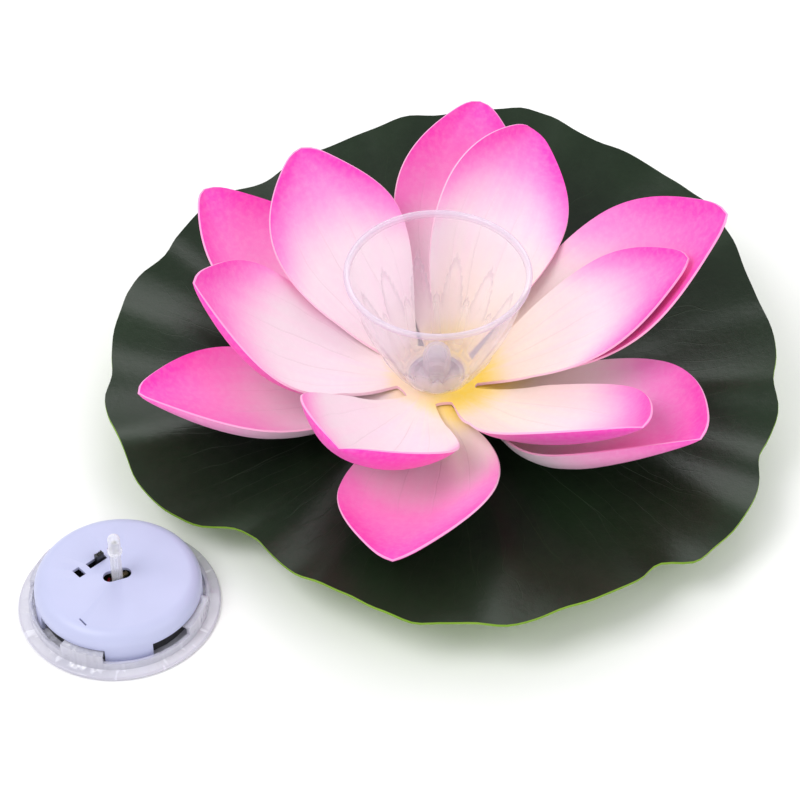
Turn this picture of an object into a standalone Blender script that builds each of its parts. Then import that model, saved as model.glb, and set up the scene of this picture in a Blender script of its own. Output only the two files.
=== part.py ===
"""Floating pool light: a foam lotus on its leaf round a clear cup, and the battery light unit beside it.

The flower is a stack on a clear float socket: leaf, outer rosette, inner rosette and cup share one
upright axis. The light unit is a clear tray that holds a white housing by four hooks, and the housing
twists free of them. Run it in Blender 4.5. Lengths are in metres, +Z is up, and everything stands on z = 0.
"""

import math
from collections import namedtuple

import bmesh
import bpy
import numpy as np
from mathutils import Matrix, Vector

MM = 0.001

# Clearances
GAP = 0.3 * MM  # between pieces that rest on or sit in each other
LAYER_GAP = 0.7 * MM  # between the foam layers at the hub
RUNNING_GAP = 0.6 * MM  # round what turns or slides

# Float socket under the leaf
SOCKET_HEIGHT = 18.0 * MM
SOCKET_PLATE = 1.8 * MM
SOCKET_WALL = 2.2 * MM
SOCKET_EDGE = 2.0 * MM  # rounding of its upper edge
SOCKET_MOUTH_DEPTH = 4.2 * MM
SOCKET_RIBS = 8
SOCKET_RIB_WIDTH = 1.2 * MM
SPIGOT_WALL = 1.5 * MM
SEAL_HEIGHT = 2.0 * MM
SEAL_WIDTH = 1.6 * MM

# Leaf
LEAF_RADIUS = 138.0 * MM
LEAF_THICKNESS = 2.2 * MM
LEAF_RISE_POWER = 1.5
LEAF_SEGMENTS = 60
LEAF_RINGS = 6

# Foam rosettes
PETAL_THICKNESS = 1.6 * MM
HUB_WIDTH = 5.3 * MM  # from the hub's hole to the roots of the petals
PETAL_ROOT_HALF_WIDTH = 6.5 * MM
PETAL_WIDEST = 0.58  # share of the length where a petal is widest
PETAL_TIP_POWER = 0.75
PETAL_SWELL_POWER = 1.1
CUPPING_ONSET = 0.25  # share of the length over which a petal's cupping comes in
CUPPING_POWER = 0.7
NOTCH_DEPTH = 0.8 * MM
PETAL_COLUMNS = 6
PETAL_ROWS = 10
PETAL_ROW_POWER = 1.35  # above 1 the rows crowd towards the tip
MIDLINE_STEP = 0.02

# Clear cup
CUP_HEIGHT = 57.0 * MM
CUP_RIM_RADIUS = 38.0 * MM
CUP_FOOT_LAP = 0.9 * MM  # of the cup's foot over the hub's hole
CUP_WALL = 1.5 * MM
CUP_RIM_BEAD = 1.3 * MM
CUP_FLUTES = 12
CUP_FLUTE_DEPTH = 0.7 * MM
CUP_FLUTE_FROM = 0.03  # shares of the cup's height
CUP_FLUTE_TO = 0.70
NECK_RADIUS = 9.6 * MM
NECK_WALL = 1.4 * MM
WELL_WALL = 1.4 * MM
WELL_SIDE = 1.45 * MM  # between the lamp's flange and the thimble that it stands in
WELL_CLEARANCE = 2.0 * MM  # above the tip of the lamp once the light unit is in the socket

# Light unit
LIGHT_HEADING = -140.4  # degrees about the flower's axis
LIGHT_SPACE = 4.5 * MM  # between the leaf's edge and the tray
TRAY_FLOOR = 1.6 * MM
TRAY_FLANGE = 4.4 * MM  # beyond the collar
COLLAR_HEIGHT = 3.4 * MM
COLLAR_WALL = 1.4 * MM
HOOK_HEIGHT = 4.0 * MM
HOOK_THICKNESS = 1.5 * MM
HOOK_REACH = 2.0 * MM
HOOK_START = -35.6  # degrees from the front, towards +X
HOOK_END = -6.4
TWIST = 26.0  # degrees that the housing turns to come free of the hooks
CATCHES = 4
CATCH_SLACK = 0.8  # degrees between a hook and the end of its notch
LUG_SHORTER = 6.0  # degrees that a lug is shorter than its hook
LUG_THICKNESS = 1.6 * MM
HOOK_SEGMENTS = 6
NOTCH_SEGMENTS = 10
LUG_SEGMENTS = 5

HOUSING_RADIUS = 33.0 * MM
HOUSING_TOP = 17.0 * MM
HOUSING_WALL = 1.5 * MM
HOUSING_SHOULDER = 6.0 * MM  # radius of its rounded upper edge
HOUSING_LIFT = 0.5 * MM  # skirt above the tray's floor
POST_RADIUS = 2.6 * MM
POST_INSET = 7.0 * MM  # from the housing's inner wall
POST_HEADINGS = (90.0, 210.0, 330.0)

LAMP_SLOT_LENGTH = 11.4 * MM
LAMP_SLOT_WIDTH = 5.6 * MM
LAMP_SLOT_TURN = 20.0
SWITCH_CENTRE = (-8.6 * MM, 7.2 * MM)
SWITCH_TURN = 43.0
SWITCH_SLOT = (8.4 * MM, 3.2 * MM)
WINDOW = (3.2 * MM, 4.8 * MM)
WINDOW_SPACING = 17.4 * MM
VENT_PLACE = (-11.6 * MM, -24.3 * MM)
VENT = (4.4 * MM, 0.7 * MM)
VENT_TURN = -49.0

CHASSIS_LIFT = 1.4 * MM  # above the tray's floor, which leaves room for the screws' heads
CHASSIS_PLATE = 1.6 * MM
CHASSIS_WALL = 1.4 * MM
CHASSIS_RIM = 2.4 * MM
CELL_RADIUS = 10.0 * MM
CELL_HEIGHT = 3.2 * MM
CELL_ALONG = -6.4 * MM  # of the cells from the switch, along the switch's line
CELL_BOARD_SPACE = 0.9 * MM  # between the cells' well and the board's edge, seen from above
CELL_CAN_EDGE = 0.4 * MM
CELL_CAP_RADII = (0.86, 0.90)  # shares of the cell's radius, at the cap's top and foot
CONTACT_THICKNESS = 0.4 * MM
CONTACT_WIDTH = 5.0 * MM
CONTACT_INSET = 1.0 * MM  # from the cell's edge
ROOF_CONTACT_LENGTH = 14.0 * MM
ROOF_CONTACT_TURN = 30.0
SCREW_RADIUS = 1.0 * MM
SCREW_HEAD_RADIUS = 2.3 * MM
SCREW_HEAD_HEIGHT = 0.9 * MM
SCREW_LENGTH = 7.5 * MM
SCREW_CROWN = 0.7  # radius of the head's flat, as a share of the head's

BOARD = (20.0 * MM, 16.0 * MM, 1.0 * MM)
BOARD_OFFSET = 5.6 * MM  # of its middle from the switch, across the switch's line
BOARD_LEVEL = 10.0 * MM
SWITCH_BODY = (12.0 * MM, 5.6 * MM, 3.6 * MM)
LEVER = (3.4 * MM, 1.9 * MM)
LEVER_TRAVEL = 3.0 * MM
LEVER_PROUD = 3.2 * MM
GROOVE = (0.5 * MM, 0.5 * MM)  # width and depth
GROOVE_SPACING = 0.8 * MM
RESISTOR = (3.4 * MM, 1.6 * MM, 1.0 * MM)
RESISTOR_PLACE = (6.0 * MM, 9.0 * MM)  # along and across the switch's line

LAMP_RADIUS = 2.5 * MM
LAMP_FLANGE = (0.45 * MM, 1.0 * MM)  # reach beyond the lens, and height
LAMP_LENGTH = 9.4 * MM
LAMP_PROUD = 22.6 * MM  # tip above the housing's top
LEAD_WIDTH = 0.5 * MM
LEAD_SPACING = 1.3 * MM  # each lead from the lamp's axis
LEAD_FEET = (1.5 * MM, 1.0 * MM)  # of the long and the short lead below the board
SLEEVE_RADIUS = 2.3 * MM
SLEEVE_WALL = 0.3 * MM
WIRE_RADIUS = 0.6 * MM
WIRE_STEPS = 3

# Wire routes in the light unit's axes, in mm: from the cells' well to the board
RED_ROUTE = (
    (-12.0, -14.0, 6.0),
    (-14.0, -8.0, 9.0),
    (-15.5, 0.0, 12.2),
    (-12.0, -1.5, 13.0),
    (-6.0, -3.0, 13.0),
    (-3.9, -1.2, 12.9),
    (-3.6, 2.0, 12.4),
)
BLACK_ROUTE = ((9.0, -2.2, 7.0), (8.5, 0.0, 10.5), (5.5, 1.8, 13.0), (3.2, 2.2, 12.4))

ROUND_SEGMENTS = 36
SMALL_SEGMENTS = 20
WELL_SEGMENTS = 24
SCREW_SEGMENTS = 12
HOLE_SEGMENTS = 12
LEAD_HOLE_SEGMENTS = 8
CUP_SEGMENTS = 3 * CUP_FLUTES
SHARP_ANGLE = math.radians(35.0)
CUT_MARGIN = 1.0 * MM  # of a cutter above the face it enters by

Petal = namedtuple("Petal", "heading sweep rise tip_rise length half_width cupping lean")

# Degrees and millimetres. Rise is the slope at the root and tip_rise at the tip, sweep bends a petal
# sideways and lean rolls it about its own length.
OUTER_ROSETTE = (
    Petal(84, -8, 25, 30, 114, 30, 36, -11),
    Petal(14, -14, 24, 50, 127, 37, 26, -6),
    Petal(-30, -13, -1, 40, 117, 42, 35, 7),
    Petal(-91, -17, 4, 22, 112, 33.5, 31, -15),
    Petal(-160, 0, 3, 32, 116, 28.5, 33, -2),
    Petal(151, -20, 6, 34, 115, 31, 33, -7),
)
INNER_ROSETTE = (
    Petal(63, 7, 56, 8, 104, 29, 36, -35),
    Petal(3, -4, 26, 48, 105, 26.5, 22, -4),
    Petal(-49, 5, 8, 50, 113, 34, 40, 16),
    Petal(-113, 2, 1, 63, 104, 38, 53, 6),
    Petal(-177, 10, 10, 65, 106, 35, 25, 7),
    Petal(136, -23, 30, 44, 98, 30, 31, 7),
)

# The leaf's edge as heading in degrees, then reach beyond LEAF_RADIUS and height above the floor in mm.
LEAF_EDGE = (
    (-180, -3, 24),
    (-165, -2, 25),
    (-150, -6, 20),
    (-136, -23, 17),
    (-120, -15, 24),
    (-105, -8, 27),
    (-90, -1, 25),
    (-75, 2, 27),
    (-60, 1, 24),
    (-45, 3, 20),
    (-30, 6, 22),
    (-15, 2, 26),
    (0, 2, 34),
    (15, 0, 40),
    (30, 5, 44),
    (45, 6, 44),
    (60, 3, 48),
    (75, 9, 50),
    (90, 4, 46),
    (105, 0, 42),
    (120, -2, 38),
    (135, 5, 36),
    (150, -4, 30),
    (165, 0, 26),
)

# The cup's rim as distance in from the rim's radius and down from its top, in beads.
CUP_RIM_CURVE = ((2.0, 1.0), (1.6, 0.2), (1.0, 0.0), (0.3, 0.3), (0.0, 1.0), (0.3, 1.8))

# The cup's outer wall as share of its height, then share of the way from foot radius to rim radius.
CUP_WALL_CURVE = (
    (0.00, 0.00),
    (0.06, 0.10),
    (0.12, 0.19),
    (0.27, 0.38),
    (0.44, 0.57),
    (0.62, 0.73),
    (0.80, 0.86),
    (0.95, 0.95),
)

# Heights, radii and places that follow from the sizes above
leaf_level = SOCKET_HEIGHT + GAP + LEAF_THICKNESS / 2
outer_level = leaf_level + LEAF_THICKNESS / 2 + LAYER_GAP + PETAL_THICKNESS / 2
inner_level = outer_level + PETAL_THICKNESS + LAYER_GAP
cup_foot = inner_level + PETAL_THICKNESS / 2 + GAP
spigot_radius = NECK_RADIUS + GAP + SPIGOT_WALL
hub_hole_radius = spigot_radius + GAP
petal_root_radius = hub_hole_radius + HUB_WIDTH
cup_foot_radius = hub_hole_radius + CUP_FOOT_LAP
lamp_flange_radius = LAMP_RADIUS + LAMP_FLANGE[0]
well_radius = lamp_flange_radius + WELL_SIDE
lamp_tip = HOUSING_TOP + LAMP_PROUD
well_top = lamp_tip - TRAY_FLOOR + WELL_CLEARANCE
skirt_level = TRAY_FLOOR + HOUSING_LIFT
hook_radius = HOUSING_RADIUS + 2 * RUNNING_GAP
collar_radius = hook_radius + COLLAR_WALL
tray_radius = collar_radius + TRAY_FLANGE
socket_inside = collar_radius + GAP + SEAL_WIDTH + GAP
socket_radius = socket_inside + SOCKET_WALL
leaf_flat_radius = socket_radius - SOCKET_EDGE
hook_under = TRAY_FLOOR + COLLAR_HEIGHT + HOOK_HEIGHT - HOOK_THICKNESS
housing_inside = HOUSING_TOP - HOUSING_WALL
chassis_level = TRAY_FLOOR + CHASSIS_LIFT
cell_level = chassis_level + CONTACT_THICKNESS + GAP
post_circle = HOUSING_RADIUS - HOUSING_WALL - POST_INSET
cell_well_radius = CELL_RADIUS + GAP
cell_across = BOARD_OFFSET + BOARD[1] / 2 + CELL_BOARD_SPACE + cell_well_radius + CHASSIS_WALL


# Scene, materials and object helpers


def clear_scene():
    """Removes every object so that the model starts from nothing."""
    for obj in list(bpy.data.objects):
        bpy.data.objects.remove(obj, do_unlink=True)


def new_collection(name):
    collection = bpy.data.collections.new(name)
    bpy.context.scene.collection.children.link(collection)
    return collection


def new_material(name, colour, roughness, metallic=0.0, transmission=0.0):
    """A Principled surface of one colour."""
    material = bpy.data.materials.new(name)
    material.use_nodes = True
    shader = material.node_tree.nodes["Principled BSDF"]
    shader.inputs["Base Color"].default_value = (*colour, 1.0)
    shader.inputs["Roughness"].default_value = roughness
    shader.inputs["Metallic"].default_value = metallic
    shader.inputs["Transmission Weight"].default_value = transmission
    material.diffuse_color = (*colour, 1.0)
    return material


def new_empty(name, place, parent=None):
    """A marker on an axis that pieces hang from."""
    empty = bpy.data.objects.new(name, None)
    empty.location = place
    empty.parent = parent
    parts.objects.link(empty)
    return empty


def new_object(name, bm, material=None, parent=None):
    """Turns a bmesh into an object; without a material it is a cutter."""
    mesh = bpy.data.meshes.new(name)
    bm.to_mesh(mesh)
    bm.free()
    obj = bpy.data.objects.new(name, mesh)
    obj.parent = parent
    if material is None:
        obj.hide_render = True
        obj.display_type = "WIRE"
        cutters.objects.link(obj)
    else:
        mesh.materials.append(material)
        parts.objects.link(obj)
    return obj


def settle(obj):
    """Applies an object's modifiers and shades it smooth, with its true corners left sharp."""
    depsgraph = bpy.context.evaluated_depsgraph_get()
    mesh = bpy.data.meshes.new_from_object(obj.evaluated_get(depsgraph))
    obj.modifiers.clear()
    worn_out = obj.data
    obj.data = mesh
    bpy.data.meshes.remove(worn_out)
    mesh.shade_smooth()
    mesh.set_sharp_from_angle(angle=SHARP_ANGLE)
    return obj


def combine(obj, others, operation):
    """Cuts the others from an object, or joins them to it; all are modelled in the same axes."""
    for other in others:
        other.parent = obj.parent
        boolean = obj.modifiers.new(other.name, "BOOLEAN")
        boolean.operation = operation
        boolean.solver = "EXACT"
        boolean.object = other
    settle(obj)
    for other in others:
        bpy.data.objects.remove(other, do_unlink=True)
    return obj


def turned(name, outline, material=None, parent=None, start=0.0, sweep=360.0, segments=ROUND_SEGMENTS):
    """Turns a closed outline of (radius, height) about Z, all the way round or through some degrees."""
    bm = bmesh.new()
    verts = [bm.verts.new((radius, 0.0, height)) for radius, height in outline]
    for first, second in zip(verts, verts[1:] + verts[:1]):
        if first.co.x > 0.0 or second.co.x > 0.0:
            bm.edges.new((first, second))
    obj = new_object(name, bm, material, parent)
    screw = obj.modifiers.new("turn", "SCREW")
    screw.angle = math.radians(sweep)
    screw.steps = screw.render_steps = segments
    screw.use_merge_vertices = True
    screw.merge_threshold = 0.00001
    settle(obj)

    bm = bmesh.new()
    bm.from_mesh(obj.data)
    bmesh.ops.dissolve_degenerate(bm, dist=1e-7, edges=bm.edges)
    if sweep < 360.0:
        bmesh.ops.holes_fill(bm, edges=[edge for edge in bm.edges if edge.is_boundary])
    bmesh.ops.rotate(bm, verts=bm.verts, matrix=Matrix.Rotation(math.radians(start), 3, "Z"))
    bmesh.ops.recalc_face_normals(bm, faces=bm.faces)
    bm.to_mesh(obj.data)
    bm.free()
    return obj


def ring_outline(inner, outer, low, high):
    """A rectangle for turning, running down its outer side."""
    return [(inner, high), (outer, high), (outer, low), (inner, low)]


def ring_piece(name, inner, outer, low, high, heading=0.0, sweep=360.0, segments=ROUND_SEGMENTS, **kind):
    """A ring or part of one; its heading is measured from the front, towards +X."""
    outline = ring_outline(inner, outer, low, high)
    return turned(name, outline, start=heading - 90.0, sweep=sweep, segments=segments, **kind)


def disc(name, radius, low, high, place=(0.0, 0.0), segments=SMALL_SEGMENTS, material=None, parent=None):
    """An upright cylinder."""
    bm = bmesh.new()
    middle = Matrix.Translation((place[0], place[1], (low + high) / 2))
    bmesh.ops.create_cone(
        bm, cap_ends=True, segments=segments, radius1=radius, radius2=radius, depth=high - low, matrix=middle
    )
    return new_object(name, bm, material, parent)


def block(name, size, low, place=(0.0, 0.0), turn=0.0, material=None, parent=None):
    """A box standing on the height low, turned about its own middle."""
    bm = bmesh.new()
    middle = Matrix.Translation((place[0], place[1], low + size[2] / 2))
    spin = Matrix.Rotation(math.radians(turn), 4, "Z")
    bmesh.ops.create_cube(bm, size=1.0, matrix=middle @ spin @ Matrix.Diagonal((*size, 1.0)))
    return new_object(name, bm, material, parent)


def stadium(name, length, width, low, high, turn, segments=SMALL_SEGMENTS):
    """A cutter with round ends."""
    bm = bmesh.new()
    circle = bmesh.ops.create_circle(bm, cap_ends=True, segments=segments, radius=width / 2)
    for vert in circle["verts"]:
        vert.co.x += math.copysign((length - width) / 2, vert.co.x)
        vert.co.z = low
    wall = bmesh.ops.extrude_face_region(bm, geom=bm.faces[:])
    top = [part for part in wall["geom"] if isinstance(part, bmesh.types.BMVert)]
    bmesh.ops.translate(bm, verts=top, vec=(0.0, 0.0, high - low))
    bmesh.ops.rotate(bm, verts=bm.verts, matrix=Matrix.Rotation(math.radians(turn), 3, "Z"))
    bmesh.ops.recalc_face_normals(bm, faces=bm.faces)
    return new_object(name, bm)


def along_switch(along, across=0.0):
    """A place given along and across the switch's line, in the light unit's own axes."""
    turn = math.radians(SWITCH_TURN)
    east = SWITCH_CENTRE[0] + along * math.cos(turn) + across * math.sin(turn)
    north = SWITCH_CENTRE[1] + along * math.sin(turn) - across * math.cos(turn)
    return (east, north)


def cell_place():
    """Middle of the cells' well, in the light unit's own axes."""
    return along_switch(CELL_ALONG, cell_across)


def polar(radius, degrees):
    return (radius * math.cos(math.radians(degrees)), radius * math.sin(math.radians(degrees)))


# Flower


def leaf_edge(degrees):
    """Radius and height of the leaf's edge at a heading, on a smooth curve through LEAF_EDGE."""
    headings = [row[0] for row in LEAF_EDGE]
    count = len(LEAF_EDGE)
    degrees = (degrees + 180.0) % 360.0 - 180.0
    last = max(i for i in range(count) if headings[i] <= degrees)
    following = headings[last + 1] if last + 1 < count else 180.0
    t = (degrees - headings[last]) / (following - headings[last])
    before, first, second, after = (np.array(LEAF_EDGE[(last + k) % count][1:]) for k in (-1, 0, 1, 2))
    slope_in = (second - before) / 2
    slope_out = (after - first) / 2
    t2 = t * t
    t3 = t2 * t
    reach, height = (
        (2 * t3 - 3 * t2 + 1) * first
        + (t3 - 2 * t2 + t) * slope_in
        + (3 * t2 - 2 * t3) * second
        + (t3 - t2) * slope_out
    )
    return LEAF_RADIUS + reach * MM, height * MM


def leaf_height(radius, degrees):
    """Height of the middle of the leaf's sheet."""
    edge_radius, edge_height = leaf_edge(degrees)
    share = max(0.0, (radius - leaf_flat_radius) / (edge_radius - leaf_flat_radius))
    return leaf_level + (edge_height - leaf_level) * share**LEAF_RISE_POWER


def make_leaf(material, parent):
    """The round leaf: a sheet that lies on the socket and turns up in soft waves towards its edge."""
    bm = bmesh.new()
    circle = bmesh.ops.create_circle(bm, cap_ends=False, segments=LEAF_SEGMENTS, radius=hub_hole_radius)
    edges = bm.edges[:]
    for vert in circle["verts"]:
        vert.co.z = leaf_level
    for ring in range(1, LEAF_RINGS + 1):
        grown = bmesh.ops.extrude_edge_only(bm, edges=edges)["geom"]
        edges = [part for part in grown if isinstance(part, bmesh.types.BMEdge)]
        for vert in [part for part in grown if isinstance(part, bmesh.types.BMVert)]:
            degrees = math.degrees(math.atan2(vert.co.y, vert.co.x))
            edge_radius = leaf_edge(degrees)[0]
            radius = hub_hole_radius + (edge_radius - hub_hole_radius) * ring / LEAF_RINGS
            vert.co = (*polar(radius, degrees), leaf_height(radius, degrees))
        edges = [edge for edge in edges if edge.is_boundary]
    bmesh.ops.recalc_face_normals(bm, faces=bm.faces)
    return thicken(new_object("leaf_pad", bm, material, parent), LEAF_THICKNESS)


def thicken(obj, thickness):
    """Gives a sheet its thickness, half on each side."""
    solidify = obj.modifiers.new("sheet", "SOLIDIFY")
    solidify.thickness = thickness
    solidify.offset = 0.0
    solidify.use_quality_normals = True
    return settle(obj)


def petal_half_width(petal, share):
    """Half the width of a petal, at a share of its length from the root."""
    widest = petal.half_width * MM
    if share > PETAL_WIDEST:
        to_tip = (share - PETAL_WIDEST) / (1.0 - PETAL_WIDEST)
        return widest * max(0.0, math.cos(math.pi / 2 * to_tip)) ** PETAL_TIP_POWER
    swell = math.sin(math.pi / 2 * share / PETAL_WIDEST) ** PETAL_SWELL_POWER
    return PETAL_ROOT_HALF_WIDTH + (widest - PETAL_ROOT_HALF_WIDTH) * swell


def petal_midline(petal, level, shares):
    """Points along a petal's middle, with the direction there, for rising shares of its length."""
    point = Vector((*polar(petal_root_radius, petal.heading), level))
    travelled = 0.0
    points = []
    for share in shares:
        while travelled < share - 1e-9:
            step = min(MIDLINE_STEP, share - travelled)
            point += petal_direction(petal, travelled + step / 2) * petal.length * MM * step
            travelled += step
        points.append((point.copy(), petal_direction(petal, share)))
    return points


def petal_direction(petal, share):
    rise = math.radians(petal.rise + (petal.tip_rise - petal.rise) * share)
    heading = math.radians(petal.heading + petal.sweep * share)
    return Vector((math.cos(rise) * math.cos(heading), math.cos(rise) * math.sin(heading), math.sin(rise)))


def petal_section(petal, share, middle, direction, across):
    """A point on a petal's curved cross-section; across runs from -1 on its left to 1 on its right."""
    right = direction.cross(Vector((0.0, 0.0, 1.0))).normalized()
    inward = right.cross(direction)
    lean = math.radians(petal.lean) * math.sqrt(share)
    tilted = right * math.cos(lean) + inward * math.sin(lean)
    raised = inward * math.cos(lean) - right * math.sin(lean)
    cupping = math.radians(petal.cupping) * min(1.0, share / CUPPING_ONSET) ** CUPPING_POWER + 1e-4
    radius = petal_half_width(petal, share) / cupping
    sideways = tilted * radius * math.sin(cupping * across)
    return middle + sideways + raised * radius * (1.0 - math.cos(cupping * across))


def add_petal(bm, petal, level):
    """Adds one petal as a bent grid and returns its root row, from its right side to its left."""
    grid = bmesh.ops.create_grid(bm, x_segments=PETAL_COLUMNS, y_segments=PETAL_ROWS, size=1.0)["verts"]
    placed = sorted(grid, key=lambda vert: (round(vert.co.y, 6), -vert.co.x))
    heights = sorted({round(vert.co.y, 6) for vert in grid})
    shares = [1.0 - (1.0 - (height + 1.0) / 2) ** PETAL_ROW_POWER for height in heights]
    row_length = PETAL_COLUMNS + 1
    for row, (share, (middle, direction)) in enumerate(zip(shares, petal_midline(petal, level, shares))):
        for vert in placed[row * row_length : (row + 1) * row_length]:
            vert.co = petal_section(petal, share, middle, direction, vert.co.x)
    root = placed[:row_length]
    bmesh.ops.remove_doubles(bm, verts=placed[-row_length:], dist=1e-5)
    return root


def make_rosette(name, petals, level, material, parent):
    """Six petals and their hub ring, cut from one sheet and pressed to shape."""
    bm = bmesh.new()
    rim = []
    for petal in sorted(petals, key=lambda row: row.heading):
        rim.append(add_petal(bm, petal, level))
    outer_edges = []
    count = 0
    for root, following in zip(rim, rim[1:] + rim[:1]):
        bridge = (root[-1].co + following[0].co) / 2
        notch = bm.verts.new(bridge - Vector((bridge.x, bridge.y, 0.0)).normalized() * NOTCH_DEPTH)
        outer_edges.append(bm.edges.new((root[-1], notch)))
        outer_edges.append(bm.edges.new((notch, following[0])))
        outer_edges += [bm.edges.get((one, two)) for one, two in zip(root, root[1:])]
        count += len(root) + 1
    hole = bmesh.ops.create_circle(bm, cap_ends=False, segments=count, radius=hub_hole_radius)["verts"]
    for vert in hole:
        vert.co.z = level
    hole_edges = list({edge for vert in hole for edge in vert.link_edges})
    bmesh.ops.triangle_fill(bm, use_beauty=True, edges=outer_edges + hole_edges, normal=(0.0, 0.0, 1.0))
    bmesh.ops.recalc_face_normals(bm, faces=bm.faces)
    return thicken(new_object(name, bm, material, parent), PETAL_THICKNESS)


def cup_radius(share):
    """Radius of the cup's outer wall at a share of its height."""
    heights = [row[0] for row in CUP_WALL_CURVE]
    widths = [row[1] for row in CUP_WALL_CURVE]
    return cup_foot_radius + (CUP_RIM_RADIUS - cup_foot_radius) * float(np.interp(share, heights, widths))


def cup_outline():
    """The cup's wall, rim, floor, lamp well and neck, down the outside and back up the bore."""
    rim_top = cup_foot + CUP_HEIGHT
    shares = [row[0] for row in reversed(CUP_WALL_CURVE)]
    outer_wall = [(cup_radius(share), cup_foot + share * CUP_HEIGHT) for share in shares]
    inner_wall = [(radius - CUP_WALL, height) for radius, height in outer_wall[:-1]]
    rim = [
        (CUP_RIM_RADIUS - inset * CUP_RIM_BEAD, rim_top - drop * CUP_RIM_BEAD)
        for inset, drop in CUP_RIM_CURVE
    ]
    foot = [
        (NECK_RADIUS, cup_foot),
        (NECK_RADIUS, SOCKET_HEIGHT - SOCKET_PLATE),
        (NECK_RADIUS - NECK_WALL, SOCKET_HEIGHT - SOCKET_PLATE),
        (NECK_RADIUS - NECK_WALL, cup_foot - CUP_WALL),
    ]
    bore = round_end(well_radius, cup_foot, well_top)
    thimble = round_end(well_radius + WELL_WALL, cup_foot + 2 * CUP_WALL, well_top + WELL_WALL)
    return rim + outer_wall + foot + bore + thimble[::-1] + inner_wall[::-1]


def round_end(radius, low, high):
    """The side of an upright rod and its domed end, from the side's foot to the tip."""
    arc = [math.radians(angle) for angle in (0.0, 45.0, 90.0)]
    dome = [(radius * math.cos(angle), high - radius + radius * math.sin(angle)) for angle in arc]
    dome[-1] = (0.0, high)
    return [(radius, low)] + dome


def make_cup(material, parent):
    """The clear cup: long pointed flutes pressed into its wall, and a second row round its foot."""
    obj = turned("clear_cup", cup_outline(), material, parent, segments=CUP_SEGMENTS)
    bm = bmesh.new()
    bm.from_mesh(obj.data)
    for vert in bm.verts:
        radius = math.hypot(vert.co.x, vert.co.y)
        share = (vert.co.z - cup_foot) / CUP_HEIGHT
        if not CUP_FLUTE_FROM < share < CUP_FLUTE_TO or radius < cup_radius(share) - CUP_WALL / 2:
            continue
        phase = math.cos(CUP_FLUTES * math.atan2(vert.co.y, vert.co.x))
        along = (share - CUP_FLUTE_FROM) / (CUP_FLUTE_TO - CUP_FLUTE_FROM)
        depth = CUP_FLUTE_DEPTH * math.sin(math.pi * along) * (1.0 - phase) / 2
        vert.co.x *= 1.0 - depth / radius
        vert.co.y *= 1.0 - depth / radius
    bm.to_mesh(obj.data)
    bm.free()
    obj.data.shade_smooth()
    obj.data.set_sharp_from_angle(angle=SHARP_ANGLE)
    return obj


def make_socket(material, parent):
    """The float socket: a ribbed cap with a spigot that centres the foam layers and holds the cup's neck."""
    ledge = socket_inside - SEAL_WIDTH / 2
    under = SOCKET_HEIGHT - SOCKET_PLATE
    corner = [math.radians(angle) for angle in (90.0, 60.0, 30.0, 0.0)]
    edge = [
        (
            socket_radius - SOCKET_EDGE + SOCKET_EDGE * math.cos(angle),
            SOCKET_HEIGHT - SOCKET_EDGE + SOCKET_EDGE * math.sin(angle),
        )
        for angle in corner
    ]
    outline = [
        (NECK_RADIUS + GAP, cup_foot - GAP),
        (spigot_radius, cup_foot - GAP),
        (spigot_radius, SOCKET_HEIGHT),
        *edge,
        (socket_radius, 0.0),
        (socket_inside, 0.0),
        (socket_inside, SOCKET_MOUTH_DEPTH),
        (ledge, SOCKET_MOUTH_DEPTH),
        (ledge, under),
        (NECK_RADIUS + GAP, under),
    ]
    socket = turned("socket_shell", outline, material, parent)
    ribs = []
    rib_from = spigot_radius + SPIGOT_WALL
    rib_depth = under - (HOUSING_TOP - TRAY_FLOOR) - GAP
    for index in range(SOCKET_RIBS):
        degrees = 360.0 * index / SOCKET_RIBS
        length = ledge - rib_from + GAP
        middle = polar(rib_from + length / 2, degrees)
        size = (length, SOCKET_RIB_WIDTH, rib_depth + GAP)
        ribs.append(block(f"rib_{index}", size, under - rib_depth, middle, degrees))
    return combine(socket, ribs, "UNION")


def make_seal(material, parent):
    """A soft ring in the socket's mouth, which grips the tray's collar."""
    outer = collar_radius + GAP + SEAL_WIDTH
    low = SOCKET_MOUTH_DEPTH - GAP - SEAL_HEIGHT
    return ring_piece(
        "socket_seal", collar_radius + GAP, outer, low, low + SEAL_HEIGHT, material=material, parent=parent
    )


# Light unit


def make_tray(material, parent):
    """The clear tray: a wide flange, a low collar and four hooks that hold the chassis down."""
    outer = collar_radius
    collar_top = TRAY_FLOOR + COLLAR_HEIGHT
    edge = TRAY_FLOOR / 2
    outline = [
        (0.0, TRAY_FLOOR),
        (hook_radius, TRAY_FLOOR),
        (hook_radius, collar_top),
        (outer, collar_top),
        (outer, TRAY_FLOOR),
        (tray_radius - edge, TRAY_FLOOR),
        (tray_radius, edge),
        (tray_radius - edge / 2, 0.0),
        (0.0, 0.0),
    ]
    tray = turned("clear_tray", outline[::-1], material, parent)
    hooks = []
    sweep = HOOK_END - HOOK_START
    for index in range(CATCHES):
        heading = HOOK_START + 360.0 * index / CATCHES
        inner = HOUSING_RADIUS - HOOK_REACH
        profile = [
            (inner, collar_top + HOOK_HEIGHT),
            (outer, collar_top + HOOK_HEIGHT),
            (outer, collar_top - GAP),
            (hook_radius, collar_top - GAP),
            (hook_radius, hook_under),
            (inner, hook_under),
        ]
        start = heading - 90.0
        hooks.append(turned(f"hook_{index}", profile, start=start, sweep=sweep, segments=HOOK_SEGMENTS))
    return combine(tray, hooks, "UNION")


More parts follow.
